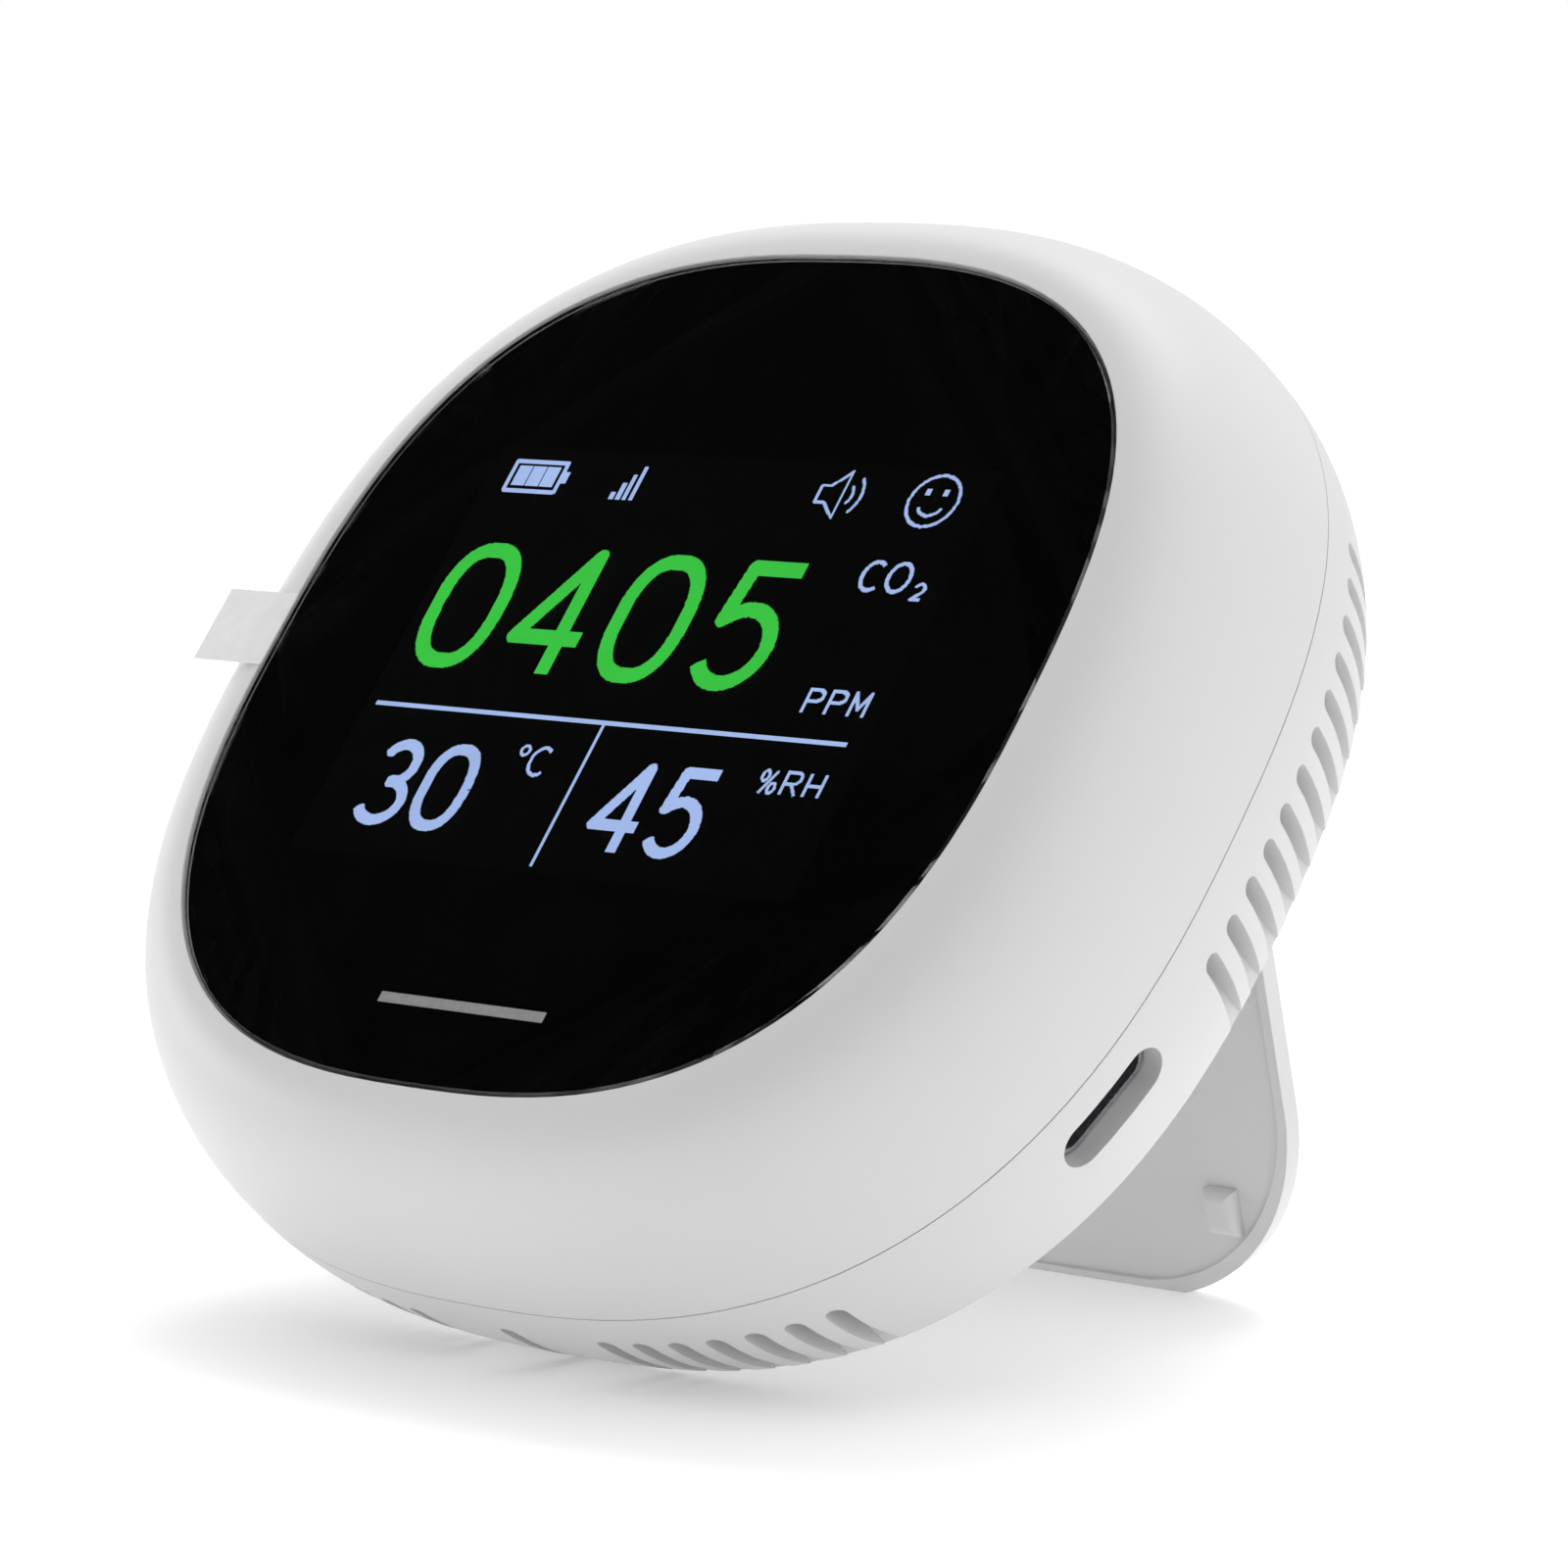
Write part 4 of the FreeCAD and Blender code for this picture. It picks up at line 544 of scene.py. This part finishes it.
# piece, its signs, then in mm: left, bottom, width and height of a sign, pitch, line weight
SIGNS = (
    ("reading_main", "0405", -21.2, -1.1, 5.9, 9.4, 8.6, 1.25),
    ("reading_left", "30", -18.6, -14.3, 3.8, 6.2, 5.15, 0.9),
    ("reading_right", "45", 3.0, -14.5, 3.8, 6.3, 5.2, 0.9),
    ("unit_gas", "CO", 15.1, 7.1, 1.85, 2.3, 2.35, 0.32),
    ("unit_gas_index", "2", 20.1, 6.6, 0.95, 1.25, 1.0, 0.27),
    ("unit_share", "PPM", 15.7, -2.75, 1.45, 1.8, 1.98, 0.3),
    ("unit_degree", "o", -6.45, -8.05, 0.75, 0.75, 1.0, 0.24),
    ("unit_heat", "C", -5.3, -9.55, 1.8, 2.2, 2.0, 0.28),
    ("unit_humidity", "%RH", 15.3, -9.2, 1.5, 1.8, 1.98, 0.24),
)


def draw_display():
    """Generic readings and unit signs, all from plain strokes."""
    green = lit_pixels("green_pixels", (0.054, 0.66, 0.07), 1.0)
    pale = lit_pixels("pale_pixels", (0.45, 0.6, 1.0), 1.0)
    for name, signs, left, bottom, width, height, pitch, weight in SIGNS:
        colour = green if name == "reading_main" else pale
        show(name, write(signs, left, bottom, width, height, pitch), weight, colour)
    show("rule_across", [[(-22.0, -4.95), (21.0, -4.95)]], 0.38, pale)
    show("rule_down", [[(-0.4, -5.1), (-0.4, -16.6)]], 0.3, pale)
    outline, bars, nub = battery_sign()
    show("sign_battery", [outline], 0.36, pale)
    show("sign_battery_bars", bars, 1.25, pale)
    show("sign_battery_nub", nub, 0.45, pale)
    signal = [[(-10.4 + 0.62 * step, 13.1), (-10.4 + 0.62 * step, 13.8 + 0.75 * step)]
              for step in range(4)]
    show("sign_signal", signal, 0.4, pale)
    horn = [(7.9, 13.9), (7.9, 15.3), (8.7, 15.3), (10.0, 16.5), (10.0, 12.7), (8.7, 13.9),
            (7.9, 13.9)]
    waves = [arc(10.1, 14.6, reach, reach * 1.2, -50, 50) for reach in (0.75, 1.55)]
    show("sign_speaker", [horn, *waves], 0.24, pale)
    face = [arc(18.0, 14.5, 2.1, 2.1, 0, 360), arc(18.0, 14.4, 1.1, 1.1, 205, 335)]
    show("sign_smile", face, 0.26, pale)
    eyes = [[(18.0 + side * 0.75, 14.95), (18.0 + side * 0.75, 15.45)] for side in (-1, 1)]
    show("sign_smile_eyes", eyes, 0.42, pale)


def print_bar():
    """Plain short grey bar printed on the glass below the display; its ink also glows, a painted
    glow that is no lamp.
    """
    material, tree, shader = start_material(
        "grey_print_painted_glow", Base_Color=(0.2, 0.2, 0.2, 1), Roughness=0.6, Emission_Strength=0.6
    )
    # the mottle tints the ink's emission: a painted glow, brighter than the ink itself
    ink = noise(tree, 0.5)
    tree.links.new(
        blend_colours(tree, ink, (0.2, 0.2, 0.2), (0.27, 0.27, 0.27)),
        shader.inputs["Emission Color"],
    )
    flat_piece("print_bar", [(-7.5, 7.5, -28.1, -27.3)], material, "case", PRINT, 0.02)


# ---- studio --------------------------------------------------------------------------------

def area_light(name, spot, target, size, power):
    """Soft box aimed at target."""
    light = bpy.data.lights.new(name, "AREA")
    light.shape = "RECTANGLE"
    light.size, light.size_y = size
    light.energy = power
    lamp = bpy.data.objects.new(name, light)
    lamp.location = spot
    lamp.rotation_euler = (target - spot).to_track_quat("-Z", "Y").to_euler()
    bpy.context.scene.collection.objects.link(lamp)


# each soft box: its name, where it hangs from the middle of the glass, its size, its watts
SOFT_BOXES = (
    ("left_box", (-0.85, -0.35, 0.0), (0.5, 0.5), 2.6),
    ("top_box", (-0.15, 0.4, 0.9), (0.6, 0.5), 3.2),
)
SQUARE = ((-1, -1), (1, -1), (1, 1), (-1, 1))
FLOOR_REACH = 6.0
FLOOR_GLOW = 0.24


def studio():
    """Wide pale floor, light tent and two soft boxes."""
    floor_material, tree, shader = start_material(
        "studio_floor", Roughness=0.8, Emission_Strength=FLOOR_GLOW
    )
    cloud = noise(tree, 300.0)
    pale = blend_colours(tree, cloud, (0.93, 0.93, 0.93), (0.95, 0.95, 0.95))
    tree.links.new(pale, shader.inputs["Base Color"])
    tree.links.new(pale, shader.inputs["Emission Color"])
    mesh = bpy.data.meshes.new("floor")
    corners = [(x * FLOOR_REACH, y * FLOOR_REACH, 0) for x, y in SQUARE]
    mesh.from_pydata(corners, [], [(0, 1, 2, 3)])
    mesh.materials.append(floor_material)
    floor = bpy.data.objects.new("floor", mesh)
    bpy.context.scene.collection.objects.link(floor)
    soft_room()
    for name, offset, size, power in SOFT_BOXES:
        area_light(name, GLASS + Vector(offset), GLASS, size, power)
    bpy.context.scene.view_settings.view_transform = "Standard"


ROOM_LIGHT = 1.76
# each screen: where it hangs, cosine at its soft edge and at its middle, share of light it passes
SCREENS = (
    ((0.1, -0.85, 0.5), 0.2, 1.0, 0.3),
    ((0.45, -0.85, -0.2), 0.2, 1.0, 0.05),
    ((0.1, 1.0, -0.1), 0.0, 0.9, 0.34),
    ((-0.654, -0.262, 0.711), 0.84, 0.95, 0.02),
)


def soft_room():
    """White light tent: dimmer in front, behind and to the right, dark where the glass looks."""
    world = bpy.data.worlds.new("studio_room")
    world.use_nodes = True
    tree = world.node_tree
    direction = add(tree, "ShaderNodeTexCoord").outputs["Generated"]
    light = None
    for spot, edge, middle, passed in SCREENS:
        towards = add(tree, "ShaderNodeVectorMath", operation="DOT_PRODUCT")
        towards.inputs[1].default_value = Vector(spot).normalized()
        tree.links.new(direction, towards.inputs[0])
        dimmed = add(tree, "ShaderNodeMapRange", interpolation_type="SMOOTHSTEP")
        dimmed.inputs["From Min"].default_value = edge
        dimmed.inputs["From Max"].default_value = middle
        dimmed.inputs["To Min"].default_value = 1.0
        dimmed.inputs["To Max"].default_value = passed
        tree.links.new(towards.outputs["Value"], dimmed.inputs["Value"])
        if light is None:
            light = dimmed.outputs["Result"]
            continue
        both = add(tree, "ShaderNodeMath", operation="MULTIPLY")
        tree.links.new(light, both.inputs[0])
        tree.links.new(dimmed.outputs["Result"], both.inputs[1])
        light = both.outputs["Value"]
    strength = add(tree, "ShaderNodeMath", operation="MULTIPLY")
    strength.inputs[1].default_value = ROOM_LIGHT
    tree.links.new(light, strength.inputs[0])
    # the tent itself looks evenly white behind the object
    seen = add(tree, "ShaderNodeMath", operation="MAXIMUM")
    tree.links.new(strength.outputs["Value"], seen.inputs[0])
    tree.links.new(add(tree, "ShaderNodeLightPath").outputs["Is Camera Ray"], seen.inputs[1])
    tree.links.new(seen.outputs["Value"], tree.nodes["Background"].inputs["Strength"])
    tree.nodes["Background"].inputs["Color"].default_value = (1, 1, 1, 1)
    bpy.context.scene.world = world


# where the camera stands from the middle of the glass, where it looks, and its focal length
CAMERA_FROM_GLASS = Vector((0.28423, -0.31047, 0.03833))
AIM = Vector((-0.6536, 0.7487, -0.1106))
LENS = 144.1
SENSOR = 36


def camera():
    """Camera that looks at the front from its right side."""
    data = bpy.data.cameras.new("camera")
    data.lens = LENS
    data.sensor_width = SENSOR
    item = bpy.data.objects.new("camera", data)
    item.location = GLASS + CAMERA_FROM_GLASS
    item.rotation_euler = AIM.to_track_quat("-Z", "Y").to_euler()
    bpy.context.scene.collection.objects.link(item)
    bpy.context.scene.camera = item


paint_everything()
draw_display()
print_bar()
studio()
camera()
